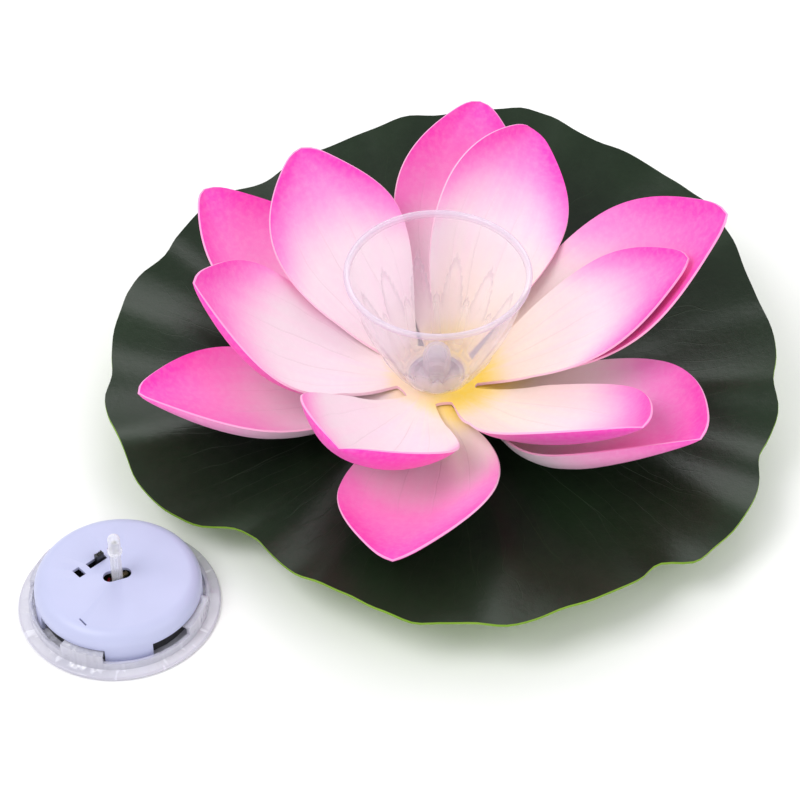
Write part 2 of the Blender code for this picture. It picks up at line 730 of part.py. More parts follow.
def housing_outline():
    """The white dome with its rounded shoulder, outside then inside."""
    arc = [math.radians(angle) for angle in (90.0, 70.0, 45.0, 20.0, 0.0)]
    centre = (HOUSING_RADIUS - HOUSING_SHOULDER, HOUSING_TOP - HOUSING_SHOULDER)
    inner = HOUSING_SHOULDER - HOUSING_WALL
    outside = [
        (centre[0] + HOUSING_SHOULDER * math.cos(angle), centre[1] + HOUSING_SHOULDER * math.sin(angle))
        for angle in arc
    ]
    inside = [(centre[0] + inner * math.cos(angle), centre[1] + inner * math.sin(angle)) for angle in arc]
    foot = [(HOUSING_RADIUS, skirt_level), (HOUSING_RADIUS - HOUSING_WALL, skirt_level)]
    return [(0.0, HOUSING_TOP)] + outside + foot + inside[::-1] + [(0.0, housing_inside)]


def make_housing(material, parent):
    """The white housing: dome, screw posts, notches for the hooks, and the openings in its top."""
    housing = turned("white_housing", housing_outline(), material, parent)
    post_foot = chassis_level + CHASSIS_PLATE + GAP
    posts = [
        disc(f"post_{index}", POST_RADIUS, post_foot, housing_inside + GAP, polar(post_circle, degrees))
        for index, degrees in enumerate(POST_HEADINGS)
    ]
    combine(housing, posts, "UNION")

    top = HOUSING_TOP + CUT_MARGIN
    below = housing_inside - GAP
    screw_tip = chassis_level + SCREW_LENGTH
    pilot = SCREW_RADIUS + GAP
    cuts = [
        disc(f"pilot_{index}", pilot, 0.0, screw_tip + GAP, polar(post_circle, degrees), HOLE_SEGMENTS)
        for index, degrees in enumerate(POST_HEADINGS)
    ]
    notch_sweep = HOOK_END - HOOK_START + TWIST + 2 * CATCH_SLACK
    notch_top = TRAY_FLOOR + COLLAR_HEIGHT + HOOK_HEIGHT + RUNNING_GAP
    notch_inner = HOUSING_RADIUS - 2 * HOUSING_WALL
    for index in range(CATCHES):
        heading = HOOK_END + CATCH_SLACK - notch_sweep + 360.0 * index / CATCHES
        span = (heading, notch_sweep, NOTCH_SEGMENTS)
        cuts.append(ring_piece(f"notch_{index}", notch_inner, tray_radius, 0.0, notch_top, *span))
    cuts.append(stadium("lamp_slot", LAMP_SLOT_LENGTH, LAMP_SLOT_WIDTH, below, top, LAMP_SLOT_TURN))
    cuts.append(block("switch_slot", (*SWITCH_SLOT, top - below), below, SWITCH_CENTRE, SWITCH_TURN))
    for name, side in (("window_left", -1), ("window_right", 1)):
        place = along_switch(side * WINDOW_SPACING / 2)
        cuts.append(block(name, (*WINDOW, top - below), below, place, SWITCH_TURN))
    cuts.append(block("vent", (*VENT, top - below), below, VENT_PLACE, VENT_TURN))
    return combine(housing, cuts, "DIFFERENCE")


def make_chassis(material, parent):
    """The black chassis: a rimmed plate with a cell well, and four lugs that turn in under the hooks."""
    plate_top = chassis_level + CHASSIS_PLATE
    radius = HOUSING_RADIUS - HOUSING_WALL - RUNNING_GAP
    rim_top = plate_top + CHASSIS_RIM
    outline = [
        (0.0, plate_top),
        (radius - CHASSIS_WALL, plate_top),
        (radius - CHASSIS_WALL, rim_top),
        (radius, rim_top),
        (radius, chassis_level),
        (0.0, chassis_level),
    ]
    chassis = turned("inner_chassis", outline, material, parent)
    lugs = []
    lug_sweep = HOOK_END - HOOK_START - LUG_SHORTER
    lug_top = min(rim_top, hook_under - RUNNING_GAP)
    lug_radii = (radius - GAP, hook_radius - RUNNING_GAP)
    for index in range(CATCHES):
        heading = HOOK_END - CATCH_SLACK * 3 - lug_sweep + 360.0 * index / CATCHES
        span = (heading, lug_sweep, LUG_SEGMENTS)
        lugs.append(ring_piece(f"lug_{index}", *lug_radii, lug_top - LUG_THICKNESS, lug_top, *span))
    well_roof = cell_level + 2 * (CELL_HEIGHT + GAP) + CONTACT_THICKNESS + GAP
    outer_well = cell_well_radius + CHASSIS_WALL
    well = disc("well", outer_well, plate_top - GAP, well_roof + CHASSIS_WALL, cell_place(), WELL_SEGMENTS)
    combine(chassis, lugs + [well], "UNION")
    hollow = disc("hollow", cell_well_radius, 0.0, well_roof, cell_place(), WELL_SEGMENTS)
    hole_radius = SCREW_RADIUS + GAP
    holes = [
        disc(f"hole_{index}", hole_radius, 0.0, plate_top + GAP, polar(post_circle, degrees), HOLE_SEGMENTS)
        for index, degrees in enumerate(POST_HEADINGS)
    ]
    return combine(chassis, [hollow] + holes, "DIFFERENCE")


def make_cells(material, parent):
    """Two coin cells stacked in the well, each a can with a narrower cap."""
    edge = CELL_CAN_EDGE
    cap_top, cap_foot = CELL_CAP_RADII
    for index, name in enumerate(("cell_lower", "cell_upper")):
        low = cell_level + index * (CELL_HEIGHT + GAP)
        high = low + CELL_HEIGHT
        outline = [
            (0.0, high),
            (CELL_RADIUS * cap_top, high),
            (CELL_RADIUS * cap_foot, high - edge),
            (CELL_RADIUS - GAP, high - edge),
            (CELL_RADIUS, high - 2 * edge),
            (CELL_RADIUS, low + edge),
            (CELL_RADIUS - edge, low),
            (0.0, low),
        ]
        cell = turned(name, outline, material, parent, segments=SMALL_SEGMENTS)
        cell.location = (*cell_place(), 0.0)


def make_contacts(material, parent):
    """The spring strip under the well's roof and the strip that crosses the lower cell."""
    upper = cell_level + 2 * (CELL_HEIGHT + GAP)
    roof = (ROOF_CONTACT_LENGTH, CONTACT_WIDTH, CONTACT_THICKNESS)
    block("roof_contact", roof, upper, cell_place(), ROOF_CONTACT_TURN, material, parent)
    floor = (2 * (CELL_RADIUS - CONTACT_INSET), CONTACT_WIDTH, CONTACT_THICKNESS)
    block("floor_contact", floor, chassis_level, cell_place(), 0.0, material, parent)


def make_screws(material, parent):
    """Three pan-head screws that hold the chassis to the housing's posts."""
    for index, degrees in enumerate(POST_HEADINGS):
        seat = chassis_level - GAP
        tip = chassis_level + SCREW_LENGTH
        outline = [
            (0.0, tip),
            (SCREW_RADIUS, tip - 2 * SCREW_RADIUS),
            (SCREW_RADIUS, seat),
            (SCREW_HEAD_RADIUS, seat),
            (SCREW_HEAD_RADIUS, seat - SCREW_HEAD_HEIGHT / 2),
            (SCREW_HEAD_RADIUS * SCREW_CROWN, seat - SCREW_HEAD_HEIGHT),
            (0.0, seat - SCREW_HEAD_HEIGHT),
        ]
        screw = turned(f"chassis_screw_{index + 1}", outline, material, parent, segments=SCREW_SEGMENTS)
        screw.location = (*polar(post_circle, degrees), 0.0)


def make_switch(black, parent):
    """The slide switch under the housing's top, open along the path of its lever."""
    length, width, height = SWITCH_BODY
    low = housing_inside - GAP - height
    switch = block("slide_switch", SWITCH_BODY, low, SWITCH_CENTRE, SWITCH_TURN, black, parent)
    channel_floor = low + height / 3
    channel = block(
        "channel",
        (LEVER[0] + LEVER_TRAVEL + 2 * RUNNING_GAP, LEVER[1] + 2 * RUNNING_GAP, height),
        channel_floor,
        SWITCH_CENTRE,
        SWITCH_TURN,
    )
    combine(switch, [channel], "DIFFERENCE")
    return channel_floor


def make_lever(channel_floor, black, head):
    """The lever, standing at the right end of its travel, with a ridged thumb face."""
    rest = along_switch(LEVER_TRAVEL / 2)
    slide = new_empty("lever_slide", (*rest, 0.0), head)
    slide.rotation_euler.z = math.radians(SWITCH_TURN)
    low = channel_floor + RUNNING_GAP
    high = HOUSING_TOP + LEVER_PROUD
    lever = block("switch_lever", (*LEVER, high - low), low, material=black, parent=slide)
    width, depth = GROOVE
    size = (width, 2 * LEVER[1], 2 * depth)
    grooves = [
        block(f"groove_{side}", size, high - depth, (side * GROOVE_SPACING, 0.0)) for side in (-1, 0, 1)
    ]
    return combine(lever, grooves, "DIFFERENCE")


def make_board(material, resistor_material, parent):
    """The circuit board below switch and lamp, with the lamp's series resistor."""
    place = along_switch(0.0, BOARD_OFFSET)
    board = block("circuit_board", BOARD, BOARD_LEVEL, place, SWITCH_TURN, material, parent)
    lead_holes = []
    for side in (-1, 1):
        centre = (side * LEAD_SPACING, 0.0)
        lead_holes.append(disc(f"lead_hole_{side}", LEAD_WIDTH, 0.0, HOUSING_TOP, centre, LEAD_HOLE_SEGMENTS))
    combine(board, lead_holes, "DIFFERENCE")
    seat = BOARD_LEVEL + BOARD[2] + GAP
    block("resistor", RESISTOR, seat, along_switch(*RESISTOR_PLACE), SWITCH_TURN, resistor_material, parent)


def make_lamp(lens, metal, sleeve_material, parent):
    """The clear lamp on its two leads, which stand in a clear sleeve."""
    base = lamp_tip - LAMP_LENGTH
    flange_top = base + LAMP_FLANGE[1]
    outline = [
        *round_end(LAMP_RADIUS, flange_top, lamp_tip)[::-1],
        (lamp_flange_radius, flange_top),
        (lamp_flange_radius, base),
        (0.0, base),
    ]
    turned("led_lamp", outline, lens, parent, segments=SMALL_SEGMENTS)
    for name, side, foot in zip(("led_lead_long", "led_lead_short"), (-1, 1), LEAD_FEET):
        low = BOARD_LEVEL - foot
        size = (LEAD_WIDTH, LEAD_WIDTH, base - GAP - low)
        block(name, size, low, (side * LEAD_SPACING, 0.0), 0.0, metal, parent)
    ring_piece(
        "lead_sleeve",
        SLEEVE_RADIUS - SLEEVE_WALL,
        SLEEVE_RADIUS,
        BOARD_LEVEL + BOARD[2] + GAP,
        base - GAP,
        segments=SMALL_SEGMENTS,
        material=sleeve_material,
        parent=parent,
    )


def smooth_route(points, steps):
    """A smooth curve through a route's points."""
    route = [Vector(point) for point in points]
    padded = [2 * route[0] - route[1]] + route + [2 * route[-1] - route[-2]]
    curve = []
    for before, first, second, after in zip(padded, padded[1:], padded[2:], padded[3:]):
        for step in range(steps):
            t = step / steps
            bend = 2 * before - 5 * first + 4 * second - after
            twist = 3 * first - before - 3 * second + after
            curve.append(first + (second - before) * t / 2 + bend * t * t / 2 + twist * t**3 / 2)
    return curve + [route[-1]]


def make_wire(name, points, material, parent):
    """An insulated wire along a route given in mm in the light unit's axes."""
    curve = bpy.data.curves.new(name, "CURVE")
    curve.dimensions = "3D"
    curve.bevel_depth = WIRE_RADIUS
    curve.bevel_resolution = 2
    curve.use_fill_caps = True
    route = smooth_route([Vector(point) * MM for point in points], WIRE_STEPS)
    spline = curve.splines.new("POLY")
    spline.points.add(len(route) - 1)
    for point, place in zip(spline.points, route):
        point.co = (*place, 1.0)
    curve.materials.append(material)
    wire = bpy.data.objects.new(name, curve)
    wire.parent = parent
    parts.objects.link(wire)


def footprint_middle():
    """The middle of the floor area that the parts cover."""
    bpy.context.view_layer.update()
    solids = [obj for obj in parts.objects if obj.type == "MESH"]
    corners = np.array([obj.matrix_world @ vert.co for obj in solids for vert in obj.data.vertices])
    return (corners.min(axis=0) + corners.max(axis=0)) / 2


def build():
    """Makes every piece, then sets the origin at the middle of the footprint."""
    clear = new_material("clear_plastic", (0.93, 0.95, 0.97), 0.05, transmission=1.0)
    lens = new_material("clear_lens", (0.96, 0.96, 0.94), 0.03, transmission=1.0)
    silicone = new_material("silicone", (0.85, 0.85, 0.83), 0.5)
    leaf_green = new_material("leaf_foam", (0.03, 0.07, 0.04), 0.45)
    outer_pink = new_material("outer_petal_foam", (0.95, 0.3, 0.62), 0.6)
    inner_pink = new_material("inner_petal_foam", (0.97, 0.72, 0.82), 0.6)
    white = new_material("white_plastic", (0.82, 0.83, 0.95), 0.35)
    black = new_material("black_plastic", (0.02, 0.02, 0.02), 0.4)
    steel = new_material("bright_steel", (0.75, 0.75, 0.76), 0.25, 1.0)
    cell_steel = new_material("cell_steel", (0.7, 0.7, 0.7), 0.3, 1.0)
    mask_black = new_material("board_mask", (0.02, 0.03, 0.02), 0.3)
    beige = new_material("resistor_body", (0.6, 0.5, 0.35), 0.5)
    red = new_material("red_insulation", (0.6, 0.02, 0.03), 0.4)
    black_skin = new_material("black_insulation", (0.02, 0.02, 0.02), 0.45)

    flower = new_empty("flower_axis", (0.0, 0.0, 0.0))
    make_socket(clear, flower)
    make_seal(silicone, flower)
    make_leaf(leaf_green, flower)
    make_rosette("outer_petals", OUTER_ROSETTE, outer_level, outer_pink, flower)
    make_rosette("inner_petals", INNER_ROSETTE, inner_level, inner_pink, flower)
    make_cup(clear, flower)

    distance = leaf_edge(LIGHT_HEADING)[0] + LIGHT_SPACE + tray_radius
    light = new_empty("light_axis", (*polar(distance, LIGHT_HEADING), 0.0))
    make_tray(clear, light)
    head = new_empty("head_axis", (0.0, 0.0, 0.0), light)
    make_housing(white, head)
    make_chassis(black, head)
    make_cells(cell_steel, head)
    make_contacts(steel, head)
    make_screws(steel, head)
    channel_floor = make_switch(black, head)
    make_lever(channel_floor, black, head)
    make_board(mask_black, beige, head)
    make_lamp(lens, steel, clear, head)
    make_wire("red_wire", RED_ROUTE, red, head)
    make_wire("black_wire", BLACK_ROUTE, black_skin, head)

    middle = footprint_middle()
    for root in (flower, light):
        root.location.x -= middle[0]
        root.location.y -= middle[1]


clear_scene()
parts = new_collection("floating_pool_light")
cutters = new_collection("cutters")
build()
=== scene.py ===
"""Looks of the floating pool light: foam lotus, leaf, clear cup and the battery light unit beside it.

It is laid out as a Blender add-on and run as a script. Lengths are in metres, in the CAD's own frame.
"""

import math
from collections import namedtuple

import bmesh
import bpy
from bpy.props import FloatProperty, FloatVectorProperty, IntProperty, PointerProperty
from mathutils import Matrix, Vector


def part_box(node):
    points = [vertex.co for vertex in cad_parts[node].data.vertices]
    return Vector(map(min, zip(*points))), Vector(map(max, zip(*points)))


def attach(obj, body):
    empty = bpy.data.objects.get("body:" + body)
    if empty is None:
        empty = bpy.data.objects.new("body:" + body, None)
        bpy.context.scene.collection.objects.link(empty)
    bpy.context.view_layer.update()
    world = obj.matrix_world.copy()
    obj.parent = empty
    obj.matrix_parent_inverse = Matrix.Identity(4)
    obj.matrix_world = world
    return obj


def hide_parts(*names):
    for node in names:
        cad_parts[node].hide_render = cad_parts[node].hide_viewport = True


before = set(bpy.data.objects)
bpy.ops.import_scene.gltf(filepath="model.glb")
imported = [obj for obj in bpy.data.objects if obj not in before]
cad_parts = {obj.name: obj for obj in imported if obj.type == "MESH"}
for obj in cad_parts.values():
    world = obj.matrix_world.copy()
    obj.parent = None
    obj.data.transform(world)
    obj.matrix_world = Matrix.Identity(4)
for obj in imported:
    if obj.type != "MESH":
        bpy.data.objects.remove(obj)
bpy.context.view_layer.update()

bl_info = {
    "name": "Floating Pool Light",
    "version": (1, 0, 0),
    "blender": (4, 5, 0),
    "location": "View3D > Sidebar > Pool Light",
    "description": "Builds a foam lotus that floats, with its clear cup and battery light unit",
    "category": "Add Mesh",
}

MM = 0.001
BODY_FLOWER = "flower"
BODY_TRAY = "light_tray"
BODY_HEAD = "light_head"

Petal = namedtuple("Petal", "heading sweep rise tip_rise length half_width cupping lean")

# Petals in degrees and millimetres, bent as the CAD's are.
OUTER_ROSETTE = (
    Petal(84, -8, 25, 30, 114, 30, 36, -11),
    Petal(14, -14, 24, 50, 127, 37, 26, -6),
    Petal(-30, -13, -1, 40, 117, 42, 35, 7),
    Petal(-91, -17, 4, 22, 112, 33.5, 31, -15),
    Petal(-160, 0, 3, 32, 116, 28.5, 33, -2),
    Petal(151, -20, 6, 34, 115, 31, 33, -7),
)
INNER_ROSETTE = (
    Petal(63, 7, 56, 8, 104, 29, 36, -35),
    Petal(3, -4, 26, 48, 105, 26.5, 22, -4),
    Petal(-49, 5, 8, 50, 113, 34, 40, 16),
    Petal(-113, 2, 1, 63, 104, 38, 53, 6),
    Petal(-177, 10, 10, 65, 106, 35, 25, 7),
    Petal(136, -23, 30, 44, 98, 30, 31, 7),
)
# Petals whose near side lies flatter and then curls up: side, cupping, curl and swell, by heading.
SIDE_SHAPES = {-160: (-1, 12.0, 62.0, 1.14), -30: (1, 12.0, 58.0, 1.08), -177: (-1, 20.0, 34.0, 1.0)}
CURL_FROM = 0.5
PETAL_EDGE_THINNING = 0.55
PETAL_BLUNTNESS = 0.6
PETAL_BLUNT_SHARE = 0.03
PETAL_THICKNESS = 1.6 * MM
PETAL_ROOT_RADIUS = 17.0 * MM
PETAL_ROOT_HALF_WIDTH = 6.5 * MM
PETAL_WIDEST = 0.58
PETAL_TIP_POWER = 0.75
PETAL_SWELL_POWER = 1.1
CUPPING_ONSET = 0.25
CUPPING_POWER = 0.7
NOTCH_DEPTH = 0.8 * MM
NOTCH_STEPS = 8
HUB_HOLE_RADIUS = 11.7 * MM
PETAL_COLUMNS = 26
PETAL_ROWS = 44
PETAL_ROW_POWER = 1.2
MIDLINE_STEP = 0.01

# The leaf's edge from heading -180 degrees on: height above the floor every 15 degrees, and reach beyond
# LEAF_RADIUS every 5 degrees, in mm.
LEAF_EDGE_HEIGHT = (24, 25, 20, 17, 24, 27, 25, 27, 24, 20, 22, 26, 34, 40, 44, 44, 48, 50, 46, 42, 38, 36, 30, 26)
LEAF_EDGE_REACH = (
    (-3.4, -0.8, -1.3, -2.8, -3.9, -4.1, -6.4, -9.5, -14.0, -23.6, -25.0, -21.1)
    + (-17.0, -13.8, -11.7, -8.4, -3.5, -0.8, -2.4, -1.4, 2.6, 1.6, -0.3, 0.7)
    + (0.0, -1.8, -4.5, 3.2, 4.2, 6.3, 6.2, 4.0, -0.1, 1.6, 3.2, 0.2)
    + (1.8, 2.0, 0.6, 0.0, 0.1, 1.6, 3.0, 6.2, 5.6, 6.4, 6.4, 4.5)
    + (2.8, 2.7, 6.1, 9.8, 6.5, 6.0, 4.2, 2.9, -0.9, -0.8, -2.5, -3.0)
    + (-5.0, -8.5, -7.0, -3.0, -1.9, -2.0, -4.0, 0.4, 0.9, -0.6, -0.6, -2.0)
)
LEAF_RADIUS = 138.0 * MM
LEAF_THICKNESS = 2.2 * MM
LEAF_FLAT_RADIUS = 38.0 * MM
LEAF_RISE_POWER = 1.5
LEAF_SEGMENTS = 240
LEAF_RINGS = 46
LEAF_FOLDS = 11
LEAF_VEINS = 22
LEAF_TWIGS = 74
LEAF_EDGE_THINNING = 0.5
LEAF_SMALL_FOLD = 1.3 * MM
LEAF_RIPPLE = 0.3 * MM
LEAF_EDGE_LIFT = 2.8 * MM

# The cup's outer wall as share of its height, then share of the way from foot radius to rim radius.
CUP_WALL_CURVE = (
    ((0.00, 0.00), (0.06, 0.10), (0.12, 0.19), (0.27, 0.38))
    + ((0.44, 0.57), (0.62, 0.73), (0.80, 0.86), (0.95, 0.95))
)
CUP_WALL_END = 0.95
CUP_WALL_STEPS = 56
CUP_HEIGHT = 57.0 * MM
CUP_RIM_RADIUS = 38.0 * MM
CUP_FOOT_RADIUS = 12.6 * MM
CUP_WALL = 1.5 * MM
CUP_RIM_BEAD = 1.3 * MM
CUP_FLUTES = 12
# Flutes as height, then foot and tip as shares of the cup's height, then how blunt the tip is.
LONG_FLUTE = (0.85, 0.05, 0.70, 1.5)
SHORT_FLUTE = (1.30, 0.02, 0.40, 1.25)
NECK_RADIUS = 9.6 * MM
NECK_WALL = 1.4 * MM
WELL_RADIUS = 4.4 * MM
WELL_WALL = 1.4 * MM
WELL_TOP = 40.0 * MM
NECK_FOOT = 16.2 * MM

# Light unit
TRAY_RADIUS = 40.0 * MM
TRAY_FLOOR = 1.6 * MM
COLLAR_TOP = 5.0 * MM
COLLAR_INSIDE = 34.2 * MM
COLLAR_OUTSIDE = 35.6 * MM
HOOK_TOP = 9.0 * MM
HOOK_UNDER = 7.5 * MM
HOOK_INSIDE = 31.0 * MM
HOOK_START = -35.6
HOOK_END = -6.4
TWIST = 26.0
CATCH_TURNS = (-90.0, 0.0, 90.0, 180.0)
CATCH_SLACK = 0.8
HOUSING_RADIUS = 33.0 * MM
HOUSING_TOP = 17.0 * MM
HOUSING_WALL = 1.5 * MM
HOUSING_SHOULDER = 6.0 * MM
SKIRT_LEVEL = 2.1 * MM
POST_RADIUS = 2.6 * MM
POST_CIRCLE = 24.5 * MM
POST_FOOT = 4.9 * MM
POST_HEADINGS = (90.0, 210.0, 330.0)
PILOT_RADIUS = 1.3 * MM
PILOT_TOP = 10.8 * MM
LAMP_SLOT = (11.4 * MM, 5.6 * MM)
LAMP_SLOT_TURN = 20.0
SWITCH_CENTRE = (-8.6 * MM, 7.2 * MM)
SWITCH_TURN = 43.0
SWITCH_SLOT = (8.4 * MM, 3.2 * MM)
WINDOW = (3.2 * MM, 4.8 * MM)
WINDOW_SPACING = 17.4 * MM
VENT_PLACE = (-11.6 * MM, -24.3 * MM)
VENT = (4.4 * MM, 0.7 * MM)
VENT_TURN = -49.0
LAMP_RADIUS = 2.5 * MM
LAMP_FLANGE = (2.95 * MM, 1.0 * MM)
LAMP_BASE = 30.2 * MM
LAMP_TIP = 39.6 * MM
SLEEVE = (2.0 * MM, 2.3 * MM)
SLEEVE_LEVELS = (11.3 * MM, 29.9 * MM)

# The lamp's lead frame: the anvil's bowl as radius and height in mm, and the levels of stem and post.
ANVIL_BOWL = ((0.0, 34.6), (0.45, 34.7), (0.95, 35.6), (1.15, 35.6), (1.05, 33.8), (0.0, 33.2))
FRAME_FOOT = 30.6 * MM
STEM_TOP = 33.6 * MM
POST_TOP = 35.0 * MM
# How far a solid that is joined reaches into its neighbour.
JOIN_OVERLAP = 0.3 * MM

# Studio lights as name, place, size and power; they all aim at STUDIO_AIM.
STUDIO_LIGHTS = (
    ("key", (-0.9, -0.5, 1.5), 0.9, 13.0),
    ("fill", (1.2, -0.9, 1.1), 1.1, 6.0),
    ("back", (0.2, 1.3, 1.2), 1.0, 7.0),
)
STUDIO_AIM = (0.0, 0.0, 0.03)
SKY_STRENGTH = 0.72
FLOOR_DROP = 0.2 * MM
CAMERA_FROM_FLOWER = (-0.0152, -0.8862, 0.8957)
CAMERA_TILT = 45.0
CAMERA_LENS = 135.0

ROUND_SEGMENTS = 192
CUP_SEGMENTS = 16 * CUP_FLUTES
SMALL_SEGMENTS = 48
SHARP_ANGLE = math.radians(38.0)
CUP_SHARP_ANGLE = math.radians(50.0)
MOULDED_CORNER = math.radians(50.0)
SHEET_SHARP_ANGLE = math.radians(60.0)


def middle_of(node):
    """The upright axis through the middle of a CAD node."""
    low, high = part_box(node)
    return Vector(((low.x + high.x) / 2, (low.y + high.y) / 2, 0.0))


FLOWER = middle_of("clear_cup")
LIGHT = middle_of("clear_tray")
LEAF_LEVEL = 19.4 * MM
OUTER_LEVEL = 22.0 * MM
INNER_LEVEL = 24.3 * MM
CUP_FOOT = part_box("clear_cup")[1].z - CUP_HEIGHT


# Sizes and colours that a user may change


def length_property(name, description, default, most):
    """A length from 0 up to the most that its shape takes."""
    return FloatProperty(name=name, description=description, default=default, min=0.0, max=most, unit="LENGTH")


class PoolLightSizes(bpy.types.PropertyGroup):
    petal_crease: length_property("Petal Crease", "Depth of a petal's soft creases", 0.15 * MM, 1.0 * MM)
    leaf_fold: length_property("Leaf Fold", "Depth of the leaf's folds at its edge", 2.6 * MM, 6.0 * MM)
    leaf_vein: length_property("Leaf Vein", "Depth of the pressed veins", 0.35 * MM, 1.0 * MM)
    flute_depth: length_property("Flute Depth", "How far the cup's pressed flutes stand out", 0.75 * MM, 1.5 * MM)
    moulded_edge: length_property("Moulded Edge", "Rounding of the light unit's moulded edges", 0.22 * MM, 0.6 * MM)
    petal_columns: IntProperty(
        name="Petal Columns", description="Faces across a petal", default=PETAL_COLUMNS, min=6, max=60
    )


def colour_property(name, description, default):
    """A colour in linear values, from one given as 0 to 255."""
    return FloatVectorProperty(
        name=name, description=description, default=linear(*default), subtype="COLOR", min=0.0, max=1.0, size=3
    )


def linear(red, green, blue):
    """Linear values of a display colour given as 0 to 255."""
    values = []
    for channel in (red, green, blue):
        share = channel / 255.0
        values.append(share / 12.92 if share <= 0.04045 else ((share + 0.055) / 1.055) ** 2.4)
    return tuple(values)


class PoolLightColours(bpy.types.PropertyGroup):
    petal_tip: colour_property("Petal Tip", "Airbrushed colour of the tips", (251, 62, 190))
    petal_blush: colour_property("Petal Blush", "Where the pink fades", (250, 146, 214))
    petal_pale: colour_property("Petal Pale", "Middle of a petal", (240, 221, 230))
    petal_heart: colour_property("Petal Heart", "Roots of the petals", (253, 219, 84))
    leaf_green: colour_property("Leaf Green", "Face of the leaf", (20, 37, 18))
    leaf_rim: colour_property("Leaf Rim", "Cut edge and underside of the leaf", (120, 160, 40))
    clear_tint: colour_property("Clear Tint", "Tint of the clear mouldings", (250, 249, 254))
    housing: colour_property("Housing", "Body of the light unit", (191, 195, 228))
    insulation_red: colour_property("Red Insulation", "Positive wire", (150, 10, 20))
    floor: colour_property("Floor", "Studio floor", (252, 252, 252))


# Finishes


class Link:
    """A node's output, with the sums that the finishes use."""

    def __init__(self, finish, socket):
        self.finish = finish
        self.socket = socket

    def _sum(self, operation, first, second=0.0):
        return self.finish.node("ShaderNodeMath", {"operation": operation}, {0: first, 1: second})

    def __add__(self, other):
        return self._sum("ADD", self, other)

    def __radd__(self, other):
        return self._sum("ADD", other, self)

    def __sub__(self, other):
        return self._sum("SUBTRACT", self, other)

    def __rsub__(self, other):
        return self._sum("SUBTRACT", other, self)

    def __mul__(self, other):
        return self._sum("MULTIPLY", self, other)

    def __truediv__(self, other):
        return self._sum("DIVIDE", self, other)

    def __pow__(self, other):
        return self._sum("POWER", self, other)

    def __abs__(self):
        return self._sum("ABSOLUTE", self)

    def sine(self):
        return self._sum("SINE", self)

    def heading(self, east):
        return self._sum("ARCTAN2", self, east)

    def clamped(self):
        return self.finish.node("ShaderNodeClamp", {}, {"Value": self})

    def eased(self, low, high):
        """0 below low, 1 above high and smooth between them."""
        settings = {"interpolation_type": "SMOOTHSTEP"}
        return self.finish.node("ShaderNodeMapRange", settings, {"Value": self, 1: low, 2: high})

    def band(self, start, full, fading, gone):
        """1 from full to fading, smooth on both sides, and 0 before start and after gone."""
        return self.eased(start, full) * (1.0 - self.eased(fading, gone))


class Finish:
    """A Principled material and the nodes that feed it."""

    def __init__(self, name, **constants):
        self.material = bpy.data.materials.new(name)
        self.material.use_nodes = True
        self.tree = self.material.node_tree
        self.shader = self.tree.nodes["Principled BSDF"]
        self.place = self.node("ShaderNodeTexCoord", {}, {}, "Object")
        self.colours = bpy.context.scene.pool_light_colours
        self.set(constants)

    def node(self, kind, settings, inputs, output=0):
        """Adds a node: its settings first, then the values or links of its sockets."""
        node = self.tree.nodes.new(kind)
        for key, value in settings.items():
            setattr(node, key, value)
        for key, value in inputs.items():
            self.feed(node.inputs[key], value)
        return Link(self, node.outputs[output])

    def feed(self, socket, value):
        if isinstance(value, Link):
            self.tree.links.new(value.socket, socket)
        elif hasattr(value, "__len__") and socket.type == "RGBA":
            socket.default_value = (*tuple(value)[:3], 1.0)
        else:
            socket.default_value = value

    def set(self, inputs):
        """Sets the shader's sockets, which are written with _ for a space."""
        for key, value in inputs.items():
            self.feed(self.shader.inputs[key.replace("_", " ")], value)

    def attribute(self, name):
        return self.node("ShaderNodeAttribute", {"attribute_name": name}, {}, "Fac")

    def axis(self, name):
        """The object coordinate along X, Y or Z."""
        return self.node("ShaderNodeSeparateXYZ", {}, {"Vector": self.place}, name)

    def noise(self, scale, detail=2.0, roughness=0.5, at=None):
        inputs = {"Vector": at or self.place, "Scale": scale, "Detail": detail, "Roughness": roughness}
        return self.node("ShaderNodeTexNoise", {}, inputs, "Fac")

    def stretched(self, scale, turn=0.0):
        """Object coordinates turned about Z and stretched."""
        moved = {"Vector": self.place, "Rotation": (0.0, 0.0, turn), "Scale": scale}
        return self.node("ShaderNodeMapping", {"vector_type": "POINT"}, moved)

    def point(self, x, y, z=0.0):
        return self.node("ShaderNodeCombineXYZ", {}, {"X": x, "Y": y, "Z": z})

    def mixed(self, share, first, second):
        """A colour between two others."""
        return self.node("ShaderNodeMix", {"data_type": "RGBA"}, {0: share, 6: first, 7: second}, 2)

    def done(self, colour, roughness, height, distance, strength, **others):
        """Feeds the shader's colour, roughness, relief and other sockets, and gives back the material."""
        relief = {"Strength": strength, "Distance": distance, "Height": height}
        others["Normal"] = self.node("ShaderNodeBump", {}, relief, "Normal")
        self.set({"Base_Color": colour, "Roughness": roughness, **others})
        return self.material


